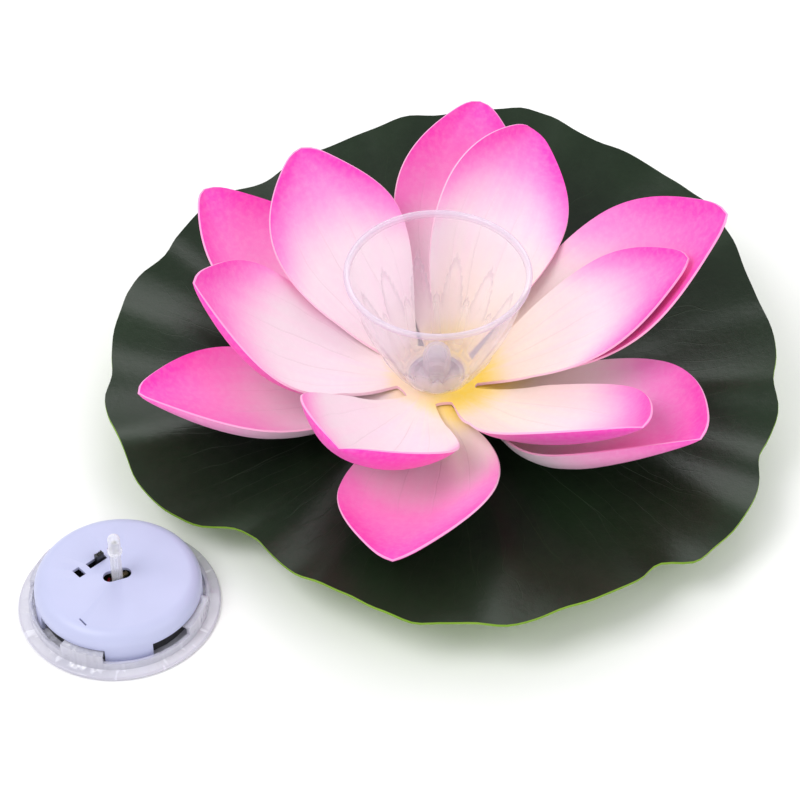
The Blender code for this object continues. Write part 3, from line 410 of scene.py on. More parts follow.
def petal_face_finish(name, tone, is_face):
    """Airbrushed foam: yellow at the root, pale in the middle and hot pink at the tip."""
    finish = Finish(name, Specular_IOR_Level=0.25, Sheen_Weight=0.12, Sheen_Roughness=0.5)
    colours = finish.colours
    along, across = map(finish.attribute, ("along", "across"))
    cloud = finish.noise(26.0, 2.0)
    streak = finish.noise(1.0, 3.0, 0.55, at=finish.point(across * 7.0, along * 0.9, cloud * 0.6))
    edge = abs(across) ** 2.2
    ribs = (across * 7.5 + cloud * 1.6 + along * 0.6).sine()
    creases = (1.0 - (abs(ribs) + streak * 0.12).eased(0.04, 0.17)) * along.band(0.06, 0.2, 0.35, 0.8)
    creases = creases * (1.0 - edge)
    if is_face:
        reach = along + edge * 0.22 * along.eased(0.05, 0.6) + (cloud - 0.5) * 0.10 + (streak - 0.5) * 0.05
        base = finish.mixed(streak.eased(0.3, 0.8) * 0.5, colours.petal_pale, linear(248, 212, 230))
        blush = colours.petal_blush
    else:
        reach = along + (streak - 0.5) * 0.10
        base = linear(234, 220, 228)
        blush = linear(246, 138, 200)
    base = finish.mixed(reach.eased(tone[0], tone[1]), base, blush)
    base = finish.mixed(reach.eased(tone[2], tone[3]), base, colours.petal_tip)
    if is_face:
        one_side = (finish.axis("X") - FLOWER.x).eased(-12.0 * MM, 10.0 * MM) * 0.65 + 0.35
        heart = (1.0 - ((along + (streak - 0.5) * 0.08) / (one_side + 0.1)).eased(tone[4], tone[5])) * one_side
        warm = (1.0 - ((along + (streak - 0.5) * 0.16) / (one_side + 0.2)).eased(0.04, 0.50)) * 0.5 * one_side
        base = finish.mixed(warm, base, linear(255, 236, 184))
        base = finish.mixed(heart, base, colours.petal_heart)
        # Painted shade: the creases are painted darker.
        base = finish.mixed(creases * 0.28, base, linear(206, 178, 190))
    else:
        base = finish.mixed(1.0 - along.eased(0.0, 0.2), base, linear(236, 222, 190))
    mottle = finish.noise(420.0, 3.0, 0.6)
    base = finish.mixed(mottle.eased(0.3, 0.8) * 0.08, base, linear(255, 255, 255))
    pores = finish.noise(1900.0, 2.0, 0.6)
    relief = streak * 0.4 + pores * 0.16 - creases * 0.8
    return finish.done(base, 0.52 + streak * 0.14, relief, 0.30 * MM, 0.5)


def petal_rim_finish():
    """The cut edge of the foam, paler than its faces."""
    finish = Finish("petal_cut_edge", Specular_IOR_Level=0.2)
    along = finish.attribute("along")
    cells = finish.noise(2400.0, 2.0, 0.7)
    tint = finish.mixed(along.eased(0.2, 1.0), linear(250, 226, 232), linear(252, 168, 218))
    base = finish.mixed(cells * 0.25, tint, finish.colours.petal_tip)
    return finish.done(base, 0.6 + cells * 0.1, cells, 0.15 * MM, 0.5)


def leaf_face_finish():
    """Deep green pressed foam with a satin skin, and fine veins that run out and fork towards the edge."""
    finish = Finish("leaf_face", Specular_IOR_Level=0.27, Coat_Roughness=0.28)
    share, fold = map(finish.attribute, ("share", "fold"))
    cloud = finish.noise(18.0, 3.0, 0.55)
    fine = finish.noise(260.0, 4.0, 0.6)
    skin = finish.noise(1500.0, 3.0, 0.65)
    bend = finish.noise(26.0, 2.0) - 0.5
    heading = (finish.axis("Y") - FLOWER.y).heading(finish.axis("X") - FLOWER.x)
    spoke = ((heading + bend * 0.10) * (LEAF_VEINS / 2)).sine()
    twig = ((heading + bend * 0.22 + share * 0.15) * (LEAF_TWIGS / 2)).sine()
    vein = (1.0 - (abs(spoke) / share).eased(0.0, 0.05)) * (1.0 - share.eased(0.5, 0.95))
    vein = vein + (1.0 - (abs(twig) / share).eased(0.0, 0.10)) * share.band(0.35, 0.6, 0.7, 1.0) * 0.5
    pores = finish.node("ShaderNodeTexVoronoi", {}, {"Vector": finish.place, "Scale": 420.0})
    lines = vein.clamped()
    tone = (cloud * 0.7 + fine * 0.3).eased(0.3, 0.75)
    base = finish.mixed(tone, linear(9, 16, 9), finish.colours.leaf_green)
    base = finish.mixed(share.eased(0.45, 1.0) * 0.45, base, linear(23, 48, 22))
    # Painted highlight: the fold crests are painted paler green.
    base = finish.mixed(fold.eased(0.45, 1.0) * 0.25, base, linear(40, 58, 38))
    base = finish.mixed(lines * 0.16, base, linear(70, 94, 58))
    relief = fine * 0.45 + skin * 0.2 + cloud * 1.0 - lines * 0.4 + pores * 0.12
    return finish.done(base, 0.25 + fine * 0.14, relief, 0.5 * MM, 0.5, Coat_Weight=0.04 + tone * 0.06)


def leaf_under_finish(name, strength):
    """Yellow-green foam of the leaf's cut edge and underside."""
    finish = Finish(name, Specular_IOR_Level=0.25)
    cloud = finish.noise(60.0, 3.0)
    cells = finish.noise(2100.0, 2.0, 0.7)
    base = finish.mixed(cloud.eased(0.2, 0.85), finish.colours.leaf_rim, linear(138, 174, 56))
    base = finish.mixed(cells * 0.25, base, linear(78, 112, 34))
    base = finish.mixed(1.0 - strength, base, finish.colours.leaf_green)
    return finish.done(base, 0.55 + cells * 0.12, cells, 0.2 * MM, 0.45)


def clear_finish(name, veil, edge, ripple, marks=None):
    """Clear moulded plastic: hardly there face on, pale at a slant, with a thin darker outline of painted shade."""
    finish = Finish(name, IOR=1.5, Specular_IOR_Level=0.5, Coat_Roughness=0.03, Coat_Weight=0.6)
    flow = finish.noise(70.0, 2.0, 0.5)
    scuff = finish.noise(900.0, 2.0, 0.6)
    slant = finish.node("ShaderNodeLayerWeight", {}, {"Blend": 0.42}, "Facing")
    alpha = veil + slant**2.2 * edge + flow * 0.03
    height = flow + scuff * 0.08
    colour = finish.mixed(flow.eased(0.2, 0.9) * 0.5, (0.95, 0.95, 0.99), finish.colours.clear_tint)
    if marks is not None:
        colour, alpha, height = marks(finish, colour, alpha, height)
    # Painted shade: the colour turns darker grey-lavender where the surface slants away, drawing the outline.
    colour = finish.mixed(slant.eased(0.80, 1.0) * 0.6, colour, linear(138, 128, 152))
    roughness = 0.05 + scuff.eased(0.55, 0.85) * 0.08
    return finish.done(colour, roughness, height, ripple, 0.6, Alpha=alpha.clamped())


def cup_marks(finish, colour, alpha, height):
    """Painted shade in the crisp outlines of the pressed flutes and in the two thin lines about the rim's bead;
    painted light as a pale veil on the low flute faces and over the well.
    """
    pressed, rim, well, low = map(finish.attribute, ("pressed", "rim", "well", "low"))
    line = pressed.band(0.02, 0.25, 0.35, 0.85)
    rim_shade_line = rim.band(0.05, 0.3, 0.4, 0.7)
    face = pressed.eased(0.4, 0.9)
    # Painted shade: darker flute outlines and thin lines either side of the rim's bead. Painted light: a pale veil
    # on the low flute faces and over the well, lightening the shade seen through the cup.
    for share, over in (
        (face * low * 0.8, (244, 236, 238)),
        (line * 0.75, (176, 158, 178)),
        (rim * 0.75, (222, 205, 230)),
        (rim_shade_line * 0.6, (160, 140, 162)),
        (well * 0.85, (240, 236, 244)),
    ):
        colour = finish.mixed(share, colour, linear(*over))
    alpha = alpha + line * 0.24 + pressed * 0.06 + face * low * 0.16 + rim * 0.36 + rim_shade_line * 0.2
    return colour, alpha + well * 0.17, height + line * 0.5


def tray_marks(finish, colour, alpha, height):
    """Faint painted highlight rays across the tray's flange, a broad grey sheen of painted shade, and thin lines of
    painted shade where the steps are.
    """
    ray, reach = map(finish.attribute, ("ray", "reach"))
    flange = reach.eased(0.885, 0.90)
    rays = finish.noise(1.0, 2.0, 0.5, at=finish.point(ray * 17.0, reach * 2.0))
    sheen = finish.noise(1.0, 1.0, 0.4, at=finish.point(ray * 3.4, 1.7))
    mark = rays.band(0.56, 0.62, 0.62, 0.70) * flange
    lip = reach.eased(0.972, 0.982)
    step = reach.band(0.865, 0.875, 0.885, 0.895)
    # Painted highlight: pale rays across the flange. Painted shade: the broad grey sheen and the darker lines at the
    # lip and the step.
    for share, over in (
        (0.8, (236, 236, 254)),
        (flange * 0.9, (246, 244, 255)),
        (sheen.eased(0.46, 0.70) * flange * 0.5, (200, 200, 220)),
        (mark * 0.75, (246, 246, 255)),
        (lip * 0.55 + step * 0.4, (186, 182, 200)),
    ):
        colour = finish.mixed(share, colour, linear(*over))
    alpha = alpha + 0.26 + flange * 0.14 + mark * 0.25 + lip * 0.18 + step * 0.10
    return colour, alpha, height + mark * 0.4


def plastic_finish(name, colour, roughness, grain, relief, variation, coat=0.0):
    """Moulded plastic: fine grain, a little unevenness of tone and sheen."""
    finish = Finish(name, Specular_IOR_Level=0.45, Coat_Roughness=0.2)
    cloud = finish.noise(55.0, 3.0)
    fine = finish.noise(grain, 3.0, 0.6)
    darker = tuple(channel * 0.90 for channel in colour)
    base = finish.mixed(cloud.eased(0.3, 0.75) * variation * 10.0, colour, darker)
    uneven = roughness + (fine - 0.5) * 0.12
    return finish.done(base, uneven, fine + cloud * 0.3, relief * MM, 0.5, Coat_Weight=coat + fine * 0.04)


def steel_finish(name, colour, turn=0.0, length=40.0):
    """Plated steel with drawn scratches along one way and a dull bloom."""
    finish = Finish(name, Anisotropic=0.3)
    scratch = finish.noise(1.0, 3.0, 0.6, at=finish.stretched((length, 2600.0, 2600.0), turn))
    bloom = finish.noise(240.0, 3.0)
    dull = tuple(channel * 0.72 for channel in colour)
    base = finish.mixed(bloom.eased(0.4, 0.8) * 0.5, colour, dull)
    return finish.done(base, 0.20 + scratch * 0.18, scratch, 0.03 * MM, 0.4, Metallic=1.0 - bloom * 0.05)


def board_finish():
    """Black solder mask over copper tracks, with the weave just showing."""
    finish = Finish("board_mask", Specular_IOR_Level=0.5)
    turned_place = finish.stretched((1.0, 1.0, 1.0), math.radians(-SWITCH_TURN))
    grid = {"Vector": turned_place, "Scale": 420.0, "Mortar Size": 0.08}
    track = finish.node("ShaderNodeTexBrick", {}, grid, "Fac")
    weave = finish.noise(3200.0, 1.0)
    base = finish.mixed(track, linear(16, 26, 18), linear(28, 48, 30))
    return finish.done(base, 0.28 + weave * 0.12, track + weave * 0.2, 0.03 * MM, 0.6)


def insulation_finish(name, colour):
    """Glossy wire insulation with slight print-through of the strands."""
    finish = Finish(name, Specular_IOR_Level=0.5, Coat_Roughness=0.12)
    smear = finish.noise(600.0, 2.0)
    strand = finish.noise(1.0, 2.0, 0.5, at=finish.stretched((900.0, 900.0, 2400.0)))
    paler = tuple(min(1.0, channel * 1.5 + 0.01) for channel in colour)
    base = finish.mixed(smear.eased(0.4, 0.8) * 0.5, colour, paler)
    return finish.done(base, 0.30 + smear * 0.1, strand, 0.03 * MM, 0.4, Coat_Weight=0.3 + strand * 0.2)


# Mesh helpers


def polar(radius, degrees):
    return (radius * math.cos(math.radians(degrees)), radius * math.sin(math.radians(degrees)))


def new_piece(name, bm, materials=()):
    """Turns a bmesh into an object at the origin."""
    mesh = bpy.data.meshes.new(name)
    bm.to_mesh(mesh)
    bm.free()
    obj = bpy.data.objects.new(name, mesh)
    for material in materials:
        mesh.materials.append(material)
    bpy.context.scene.collection.objects.link(obj)
    return obj


def settle(obj, sharp=SHARP_ANGLE):
    """Applies the modifiers and shades the mesh smooth with its corners sharp."""
    bpy.context.view_layer.update()
    mesh = bpy.data.meshes.new_from_object(obj.evaluated_get(bpy.context.evaluated_depsgraph_get()))
    obj.modifiers.clear()
    obj.data = mesh
    mesh.name = obj.name
    mesh.shade_smooth()
    mesh.set_sharp_from_angle(angle=sharp)
    return obj


def modify(obj, name, kind, **settings):
    """Adds a modifier with its settings."""
    modifier = obj.modifiers.new(name, kind)
    for key, value in settings.items():
        setattr(modifier, key, value)


def place(obj, middle):
    """Moves a mesh, not its object, to its upright axis."""
    obj.data.transform(Matrix.Translation(middle))
    obj.data.update()
    return obj


def layers_of(bm, *names):
    """New point attributes by name, and the layer that says how thick a sheet is."""
    return {name: bm.verts.layers.float.new(name) for name in names}, bm.verts.layers.deform.verify()


def parts_of(grown, kind):
    return [part for part in grown["geom"] if isinstance(part, kind)]


def foam_sheet(name, bm, finishes, thickness):
    """A piece from one sheet facing up, with slots for its underside and cut edge, at the flower's middle."""
    bmesh.ops.recalc_face_normals(bm, faces=bm.faces)
    if sum(face.normal.z for face in bm.faces) < 0.0:
        bmesh.ops.reverse_faces(bm, faces=bm.faces)
    obj = new_piece(name, bm, finishes)
    obj.vertex_groups.new(name="body")
    halves = {"vertex_group": "body", "thickness": thickness, "offset": 0.0, "use_quality_normals": True}
    modify(obj, "sheet", "SOLIDIFY", material_offset=1, material_offset_rim=2, **halves)
    return place(settle(obj, SHEET_SHARP_ANGLE), FLOWER)


def spun(outline, segments=ROUND_SEGMENTS, start=0.0, sweep=360.0):
    """Spins a closed outline of (radius, height) about Z; part of a turn gets its ends filled."""
    bm = bmesh.new()
    verts = [bm.verts.new((radius, 0.0, height)) for radius, height in outline]
    for first, second in zip(verts, verts[1:] + verts[:1]):
        if first.co.x > 0.0 or second.co.x > 0.0:
            bm.edges.new((first, second))
    bmesh.ops.rotate(bm, verts=bm.verts, matrix=Matrix.Rotation(math.radians(start), 3, "Z"))
    full = sweep >= 360.0
    turning = {"angle": math.radians(sweep), "steps": segments, "use_merge": full, "use_duplicate": False}
    bmesh.ops.spin(bm, geom=bm.verts[:] + bm.edges[:], cent=(0.0, 0.0, 0.0), axis=(0.0, 0.0, 1.0), **turning)
    bmesh.ops.remove_doubles(bm, verts=bm.verts, dist=1e-7)
    if not full:
        bmesh.ops.holes_fill(bm, edges=[edge for edge in bm.edges if edge.is_boundary])
    bmesh.ops.recalc_face_normals(bm, faces=bm.faces)
    return bm


def prism(outline, low, high, middle=(0.0, 0.0), turn=0.0):
    """An upright solid of an outline in x and y."""
    bm = bmesh.new()
    face = bm.faces.new([bm.verts.new((x, y, low)) for x, y in outline])
    top = parts_of(bmesh.ops.extrude_face_region(bm, geom=[face]), bmesh.types.BMVert)
    bmesh.ops.translate(bm, verts=top, vec=(0.0, 0.0, high - low))
    bmesh.ops.rotate(bm, verts=bm.verts, matrix=Matrix.Rotation(math.radians(turn), 3, "Z"))
    bmesh.ops.translate(bm, verts=bm.verts, vec=(middle[0], middle[1], 0.0))
    bmesh.ops.recalc_face_normals(bm, faces=bm.faces)
    return bm


def rounded_rectangle(length, width, radius, steps=6):
    """Outline of a rectangle with round corners."""
    points = []
    for corner, (sign_x, sign_y) in enumerate(((1, 1), (-1, 1), (-1, -1), (1, -1))):
        for step in range(steps + 1):
            angle = math.radians(90.0 * (corner + step / steps))
            x = sign_x * (length / 2 - radius) + radius * math.cos(angle)
            y = sign_y * (width / 2 - radius) + radius * math.sin(angle)
            points.append((x, y))
    return points


def circle_outline(radius):
    return [polar(radius, 360.0 * step / SMALL_SEGMENTS) for step in range(SMALL_SEGMENTS)]


def arc(centre, radius, start, end, steps):
    """Points of a round corner from one angle to another in degrees."""
    angles = [math.radians(start + (end - start) * step / steps) for step in range(steps + 1)]
    return [(centre[0] + radius * math.cos(angle), centre[1] + radius * math.sin(angle)) for angle in angles]


def cut(obj, solids, operation):
    """Cuts or joins other solids, which are bmeshes in the same axes."""
    helpers = [new_piece(f"helper_{index}", solid) for index, solid in enumerate(solids)]
    for helper in helpers:
        modify(obj, helper.name, "BOOLEAN", operation=operation, solver="EXACT", object=helper)
    settle(obj)
    for helper in helpers:
        bpy.data.objects.remove(helper, do_unlink=True)
    return obj


def round_edges(obj, width):
    """Rounds the sharp corners of a moulding."""
    modify(obj, "moulded", "BEVEL", width=width, segments=2, limit_method="ANGLE", angle_limit=MOULDED_CORNER)
    return settle(obj)


def along_switch(along):
    """A place on the switch's line, in the light unit's own axes."""
    east, north = polar(along, SWITCH_TURN)
    return (SWITCH_CENTRE[0] + east, SWITCH_CENTRE[1] + north)


def between(t, first, slope_in, second, slope_out):
    """Value of a smooth curve at a share t of the way between two values with their slopes."""
    t2 = t * t
    t3 = t2 * t
    return (
        (2 * t3 - 3 * t2 + 1) * first
        + (t3 - 2 * t2 + t) * slope_in
        + (3 * t2 - 2 * t3) * second
        + (t3 - t2) * slope_out
    )


def interpolated(curve, at):
    """Value on a smooth curve through (position, value) rows."""
    last = max(0, min(len(curve) - 2, sum(1 for row in curve if row[0] <= at) - 1))
    first, second = curve[last], curve[last + 1]
    before = curve[last - 1] if last > 0 else first
    after = curve[last + 2] if last + 2 < len(curve) else second
    span = second[0] - first[0]
    slope_in = (second[1] - before[1]) / (second[0] - before[0]) * span
    slope_out = (after[1] - first[1]) / (after[0] - first[0]) * span
    return between((at - first[0]) / span, first[1], slope_in, second[1], slope_out)


# Leaf


def around(values, turns):
    """Value at a share of a turn, on a smooth closed curve through evenly spaced values."""
    position = turns * len(values)
    last = math.floor(position)
    before, first, second, after = (values[(last + k) % len(values)] for k in (-1, 0, 1, 2))
    return between(position - last, first, (second - before) / 2, second, (after - first) / 2)


def leaf_edge(degrees):
    """Radius and height of the leaf's edge at a heading."""
    turns = (degrees + 180.0) / 360.0 % 1.0
    return LEAF_RADIUS + around(LEAF_EDGE_REACH, turns) * MM, around(LEAF_EDGE_HEIGHT, turns) * MM


def leaf_relief(share, degrees, sizes):
    """Depth below the plain sheet at a share of the way out, and how much of it is crest."""
    angle = math.radians(degrees)
    drift = 0.35 * math.sin(3.0 * share + 2.0 * angle)
    wave = math.cos(LEAF_FOLDS * angle + drift + 0.9 * math.sin(2 * angle) + 0.6 * math.cos(3 * angle))
    small = math.cos(23.0 * angle + 2.5 * share + 1.7 * math.sin(angle) + 1.1 * math.cos(4 * angle))
    ripple = math.cos(41.0 * angle + 5.0 * share + 2.3 * math.sin(3 * angle))
    crest = (0.5 + 0.5 * wave) ** 2.0
    grown = max(0.0, (share - 0.20) / 0.80) ** 1.25
    outer = max(0.0, (share - 0.55) / 0.45) ** 1.3
    pucker = math.cos(LEAF_VEINS * angle + 2.0 * math.sin(5.0 * angle)) * math.exp(-(((share - 0.5) / 0.35) ** 2))
    depth = sizes.leaf_fold * grown * (1.0 - crest)
    depth += LEAF_SMALL_FOLD * outer * (1.0 - (0.5 + 0.5 * small) ** 1.5) + LEAF_RIPPLE * outer * (1.0 - ripple) / 2
    depth += sizes.leaf_vein * (1.0 + pucker) / 2 - LEAF_EDGE_LIFT * outer
    return depth, crest * grown


def build_leaf(sizes):
    """One continuous sheet, folded and veined, rising in waves towards its edge."""
    bm = bmesh.new()
    layers, body = layers_of(bm, "share", "fold")
    circle = bmesh.ops.create_circle(bm, cap_ends=False, segments=LEAF_SEGMENTS, radius=HUB_HOLE_RADIUS)
    edges = bm.edges[:]
    for vert in circle["verts"]:
        vert.co.z = LEAF_LEVEL
        vert[body][0] = 1.0
    for ring in range(1, LEAF_RINGS + 1):
        grown = bmesh.ops.extrude_edge_only(bm, edges=edges)
        for vert in parts_of(grown, bmesh.types.BMVert):
            degrees = math.degrees(math.atan2(vert.co.y, vert.co.x))
            edge_radius, edge_height = leaf_edge(degrees)
            share = ring / LEAF_RINGS
            radius = HUB_HOLE_RADIUS + (edge_radius - HUB_HOLE_RADIUS) * share
            risen = max(0.0, (radius - LEAF_FLAT_RADIUS) / (edge_radius - LEAF_FLAT_RADIUS))
            depth, crest = leaf_relief(risen, degrees, sizes)
            height = LEAF_LEVEL + (edge_height - LEAF_LEVEL) * risen**LEAF_RISE_POWER - depth
            vert.co = (*polar(radius, degrees), height)
            vert[layers["share"]] = share
            vert[layers["fold"]] = crest
            vert[body][0] = 1.0 - (1.0 - LEAF_EDGE_THINNING) * share**6
        edges = [edge for edge in parts_of(grown, bmesh.types.BMEdge) if edge.is_boundary]
    finishes = (leaf_face_finish(), leaf_under_finish("leaf_under", 0.8), leaf_under_finish("leaf_cut_edge", 1.0))
    return foam_sheet("lotus_leaf", bm, finishes, LEAF_THICKNESS)


# Petals


def petal_half_width(petal, share):
    widest = petal.half_width * MM
    if share > PETAL_WIDEST:
        to_tip = (share - PETAL_WIDEST) / (1.0 - PETAL_WIDEST)
        blunt = 1.0 + PETAL_BLUNTNESS * math.exp((share - 1.0) / PETAL_BLUNT_SHARE)
        return blunt * widest * max(0.0, math.cos(math.pi / 2 * to_tip)) ** PETAL_TIP_POWER
    swell = math.sin(math.pi / 2 * share / PETAL_WIDEST) ** PETAL_SWELL_POWER
    return PETAL_ROOT_HALF_WIDTH + (widest - PETAL_ROOT_HALF_WIDTH) * swell


def petal_direction(petal, share):
    rise = math.radians(petal.rise + (petal.tip_rise - petal.rise) * share)
    heading = math.radians(petal.heading + petal.sweep * share)
    return Vector((math.cos(rise) * math.cos(heading), math.cos(rise) * math.sin(heading), math.sin(rise)))


def petal_midline(petal, level, shares):
    """Points along a petal's middle, with the direction there."""
    point = Vector((*polar(PETAL_ROOT_RADIUS, petal.heading), level))
    travelled = 0.0
    points = []
    for share in shares:
        while travelled < share - 1e-9:
            step = min(MIDLINE_STEP, share - travelled)
            point += petal_direction(petal, travelled + step / 2) * petal.length * MM * step
            travelled += step
        points.append((point.copy(), petal_direction(petal, share)))
    return points


def petal_point(petal, share, middle, direction, across, crease):
    """A point on a petal's curved cross-section, with its soft creases pressed in."""
    right = direction.cross(Vector((0.0, 0.0, 1.0))).normalized()
    inward = right.cross(direction)
    lean = math.radians(petal.lean) * math.sqrt(share)
    tilted = right * math.cos(lean) + inward * math.sin(lean)
    raised = inward * math.cos(lean) - right * math.sin(lean)
    half_width = petal_half_width(petal, share)
    side, cupping, curl, swell = SIDE_SHAPES.get(petal.heading, (1, petal.cupping, 0.0, 1.0))
    if side * across < 0.0:
        cupping, curl, swell = petal.cupping, 0.0, 1.0
    onset = min(1.0, share / CUPPING_ONSET) ** CUPPING_POWER
    sideways, up = section_offset(math.radians(cupping) * onset, math.radians(curl) * onset, abs(across))
    sideways *= math.copysign(half_width * (1.0 + (swell - 1.0) * math.sin(math.pi * share)), across)
    fade = math.sin(math.pi * min(1.0, share * 1.05)) ** 0.7 if share < 0.95 else 0.0
    width_fade = min(1.0, half_width / (14.0 * MM))
    ridges = math.cos(across * 9.0 + petal.heading) + 0.6 * math.cos(across * 15.0 + 2.0 * share + petal.heading)
    rim_shade_line = math.exp(-((across / 0.10) ** 2)) * 1.6
    lift = crease * fade * width_fade * (ridges - rim_shade_line) * (1.0 - 0.5 * share)
    return middle + tilted * sideways + raised * (half_width * up + lift)


def section_offset(cupping, curl, across):
    """How far out and up a cross-section has come, in half widths, bending evenly and then curling up."""
    steps = 14
    out = 0.0
    up = 0.0
    for step in range(steps):
        part = across * (step + 0.5) / steps
        turn = max(0.0, (part - CURL_FROM) / (1.0 - CURL_FROM))
        angle = cupping * part + curl * turn * turn * (3.0 - 2.0 * turn)
        out += math.cos(angle) * across / steps
        up += math.sin(angle) * across / steps
    return out, up


def add_petal(bm, petal, level, layers, body, sizes):
    """Adds one petal as a bent grid and returns its root row, from its right side to its left."""
    columns = sizes.petal_columns
    grid = bmesh.ops.create_grid(bm, x_segments=columns, y_segments=PETAL_ROWS, size=1.0)["verts"]
    placed = sorted(grid, key=lambda vert: (round(vert.co.y, 6), -vert.co.x))
    heights = sorted({round(vert.co.y, 6) for vert in grid})
    shares = [1.0 - (1.0 - (height + 1.0) / 2) ** PETAL_ROW_POWER for height in heights]
    row_length = columns + 1
    for row, (share, (middle, direction)) in enumerate(zip(shares, petal_midline(petal, level, shares))):
        for vert in placed[row * row_length : (row + 1) * row_length]:
            vert[layers["along"]] = share
            vert[layers["across"]] = vert.co.x
            thin = max(abs(vert.co.x) ** 8, share**16)
            vert[body][0] = 1.0 - (1.0 - PETAL_EDGE_THINNING) * thin * min(1.0, share * 4.0)
            vert.co = petal_point(petal, share, middle, direction, vert.co.x, sizes.petal_crease)
    root = placed[:row_length]
    bmesh.ops.remove_doubles(bm, verts=placed[-row_length:], dist=1e-5)
    return root


def build_rosette(name, petals, level, finishes, sizes):
    """Six petals and their hub ring in one sheet of foam."""
    bm = bmesh.new()
    layers, body = layers_of(bm, "along", "across")
    petals = sorted(petals, key=lambda row: row.heading)
    rim = [add_petal(bm, petal, level, layers, body, sizes) for petal in petals]
    outer_edges = []
    count = 0
    for root, following in zip(rim, rim[1:] + rim[:1]):
        bridge = (root[-1].co + following[0].co) / 2
        inward = Vector((bridge.x, bridge.y, 0.0)).normalized() * -NOTCH_DEPTH
        chain = [root[-1]]
        for step in range(1, NOTCH_STEPS):
            turn = math.pi * step / NOTCH_STEPS
            across = root[-1].co.lerp(following[0].co, (1.0 - math.cos(turn)) / 2)
            chain.append(bm.verts.new(across + inward * math.sin(turn)))
            chain[-1][body][0] = 1.0
        chain.append(following[0])
        outer_edges += [bm.edges.new(pair) for pair in zip(chain, chain[1:])]
        outer_edges += [bm.edges.get(pair) for pair in zip(root, root[1:])]
        count += len(root) + NOTCH_STEPS - 1
    hole = bmesh.ops.create_circle(bm, cap_ends=False, segments=count, radius=HUB_HOLE_RADIUS)["verts"]
    for vert in hole:
        vert.co.z = level
        vert[body][0] = 1.0
    hole_edges = list({edge for vert in hole for edge in vert.link_edges})
    bmesh.ops.triangle_fill(bm, use_beauty=True, edges=outer_edges + hole_edges, normal=(0.0, 0.0, 1.0))
    return foam_sheet(name, bm, finishes, PETAL_THICKNESS)


# Cup


def cup_radius(share):
    return CUP_FOOT_RADIUS + (CUP_RIM_RADIUS - CUP_FOOT_RADIUS) * interpolated(CUP_WALL_CURVE, share)


def round_end(radius, low, high, steps=8):
    """The side of an upright rod and its domed end, from the side's foot to the tip."""
    return [(radius, low)] + arc((0.0, high - radius), radius, 0.0, 90.0, steps)[:-1] + [(0.0, high)]


def pointed(degrees, share, rise, foot, tip, power):
    """Height of a pointed flute pressed in a wall, with its middle at half a sector and 0 outside it."""
    sector = 360.0 / CUP_FLUTES
    local = (degrees % sector - sector / 2) / (sector / 2)
    if not foot < share < tip:
        return 0.0
    reach = (share - foot) / (tip - foot)
    half_width = (1.0 - reach**power) * min(1.0, 0.82 + reach)
    if abs(local) >= half_width:
        return 0.0
    swell = math.sqrt(1.0 - (local / half_width) ** 2)
    return rise * swell * min(1.0, (1.0 - reach) * 4.0) * min(1.0, reach * 10.0)


def build_cup(sizes):
    """The clear cup with its beaded rim, pressed flutes, lamp well and neck."""
    shares = [step / CUP_WALL_STEPS * CUP_WALL_END for step in range(CUP_WALL_STEPS + 1)]
    outer = [(cup_radius(share), CUP_FOOT + share * CUP_HEIGHT) for share in reversed(shares)]
    inner = [(radius - CUP_WALL, height) for radius, height in outer if height > CUP_FOOT + 2 * CUP_WALL]
    centre = (CUP_RIM_RADIUS - CUP_RIM_BEAD, CUP_FOOT + CUP_HEIGHT - CUP_RIM_BEAD)
    rim = arc(centre, CUP_RIM_BEAD, 200.0, -40.0, 12)
    foot = [
        (NECK_RADIUS, CUP_FOOT),
        (NECK_RADIUS, NECK_FOOT),
        (NECK_RADIUS - NECK_WALL, NECK_FOOT),
        (NECK_RADIUS - NECK_WALL, CUP_FOOT - CUP_WALL),
    ]
    bore = round_end(WELL_RADIUS, CUP_FOOT, WELL_TOP)
    thimble = round_end(WELL_RADIUS + WELL_WALL, CUP_FOOT + 2 * CUP_WALL, WELL_TOP + WELL_WALL)
    bm = spun(rim + outer + foot + bore + thimble[::-1] + inner[::-1], CUP_SEGMENTS)
    layers = {name: bm.verts.layers.float.new(name) for name in ("pressed", "rim", "well", "low")}
    between_flutes = 180.0 / CUP_FLUTES
    for vert in bm.verts:
        radius = math.hypot(vert.co.x, vert.co.y)
        share = (vert.co.z - CUP_FOOT) / CUP_HEIGHT
        vert[layers["rim"]] = 1.0 if share > CUP_WALL_END + 0.005 else 0.0
        vert[layers["well"]] = 1.0 if share < 0.01 or radius < WELL_RADIUS + 1.5 * WELL_WALL else 0.0
        vert[layers["low"]] = min(1.0, max(0.0, (0.5 - share) / 0.15))
        if not 0.0 < share < CUP_WALL_END - 0.01 or radius < cup_radius(share) - CUP_WALL / 2:
            continue
        degrees = math.degrees(math.atan2(vert.co.y, vert.co.x))
        pressed = max(
            pointed(degrees, share, *LONG_FLUTE),
            pointed(degrees + between_flutes, share, *SHORT_FLUTE),
        )
        vert[layers["pressed"]] = pressed
        stretch = 1.0 + sizes.flute_depth * pressed / radius
        vert.co.x *= stretch
        vert.co.y *= stretch
    cup = new_piece("fluted_cup", bm, [clear_finish("cup_clear", 0.05, 0.50, 0.03 * MM, cup_marks)])
    return place(settle(cup, CUP_SHARP_ANGLE), FLOWER)


# Light unit


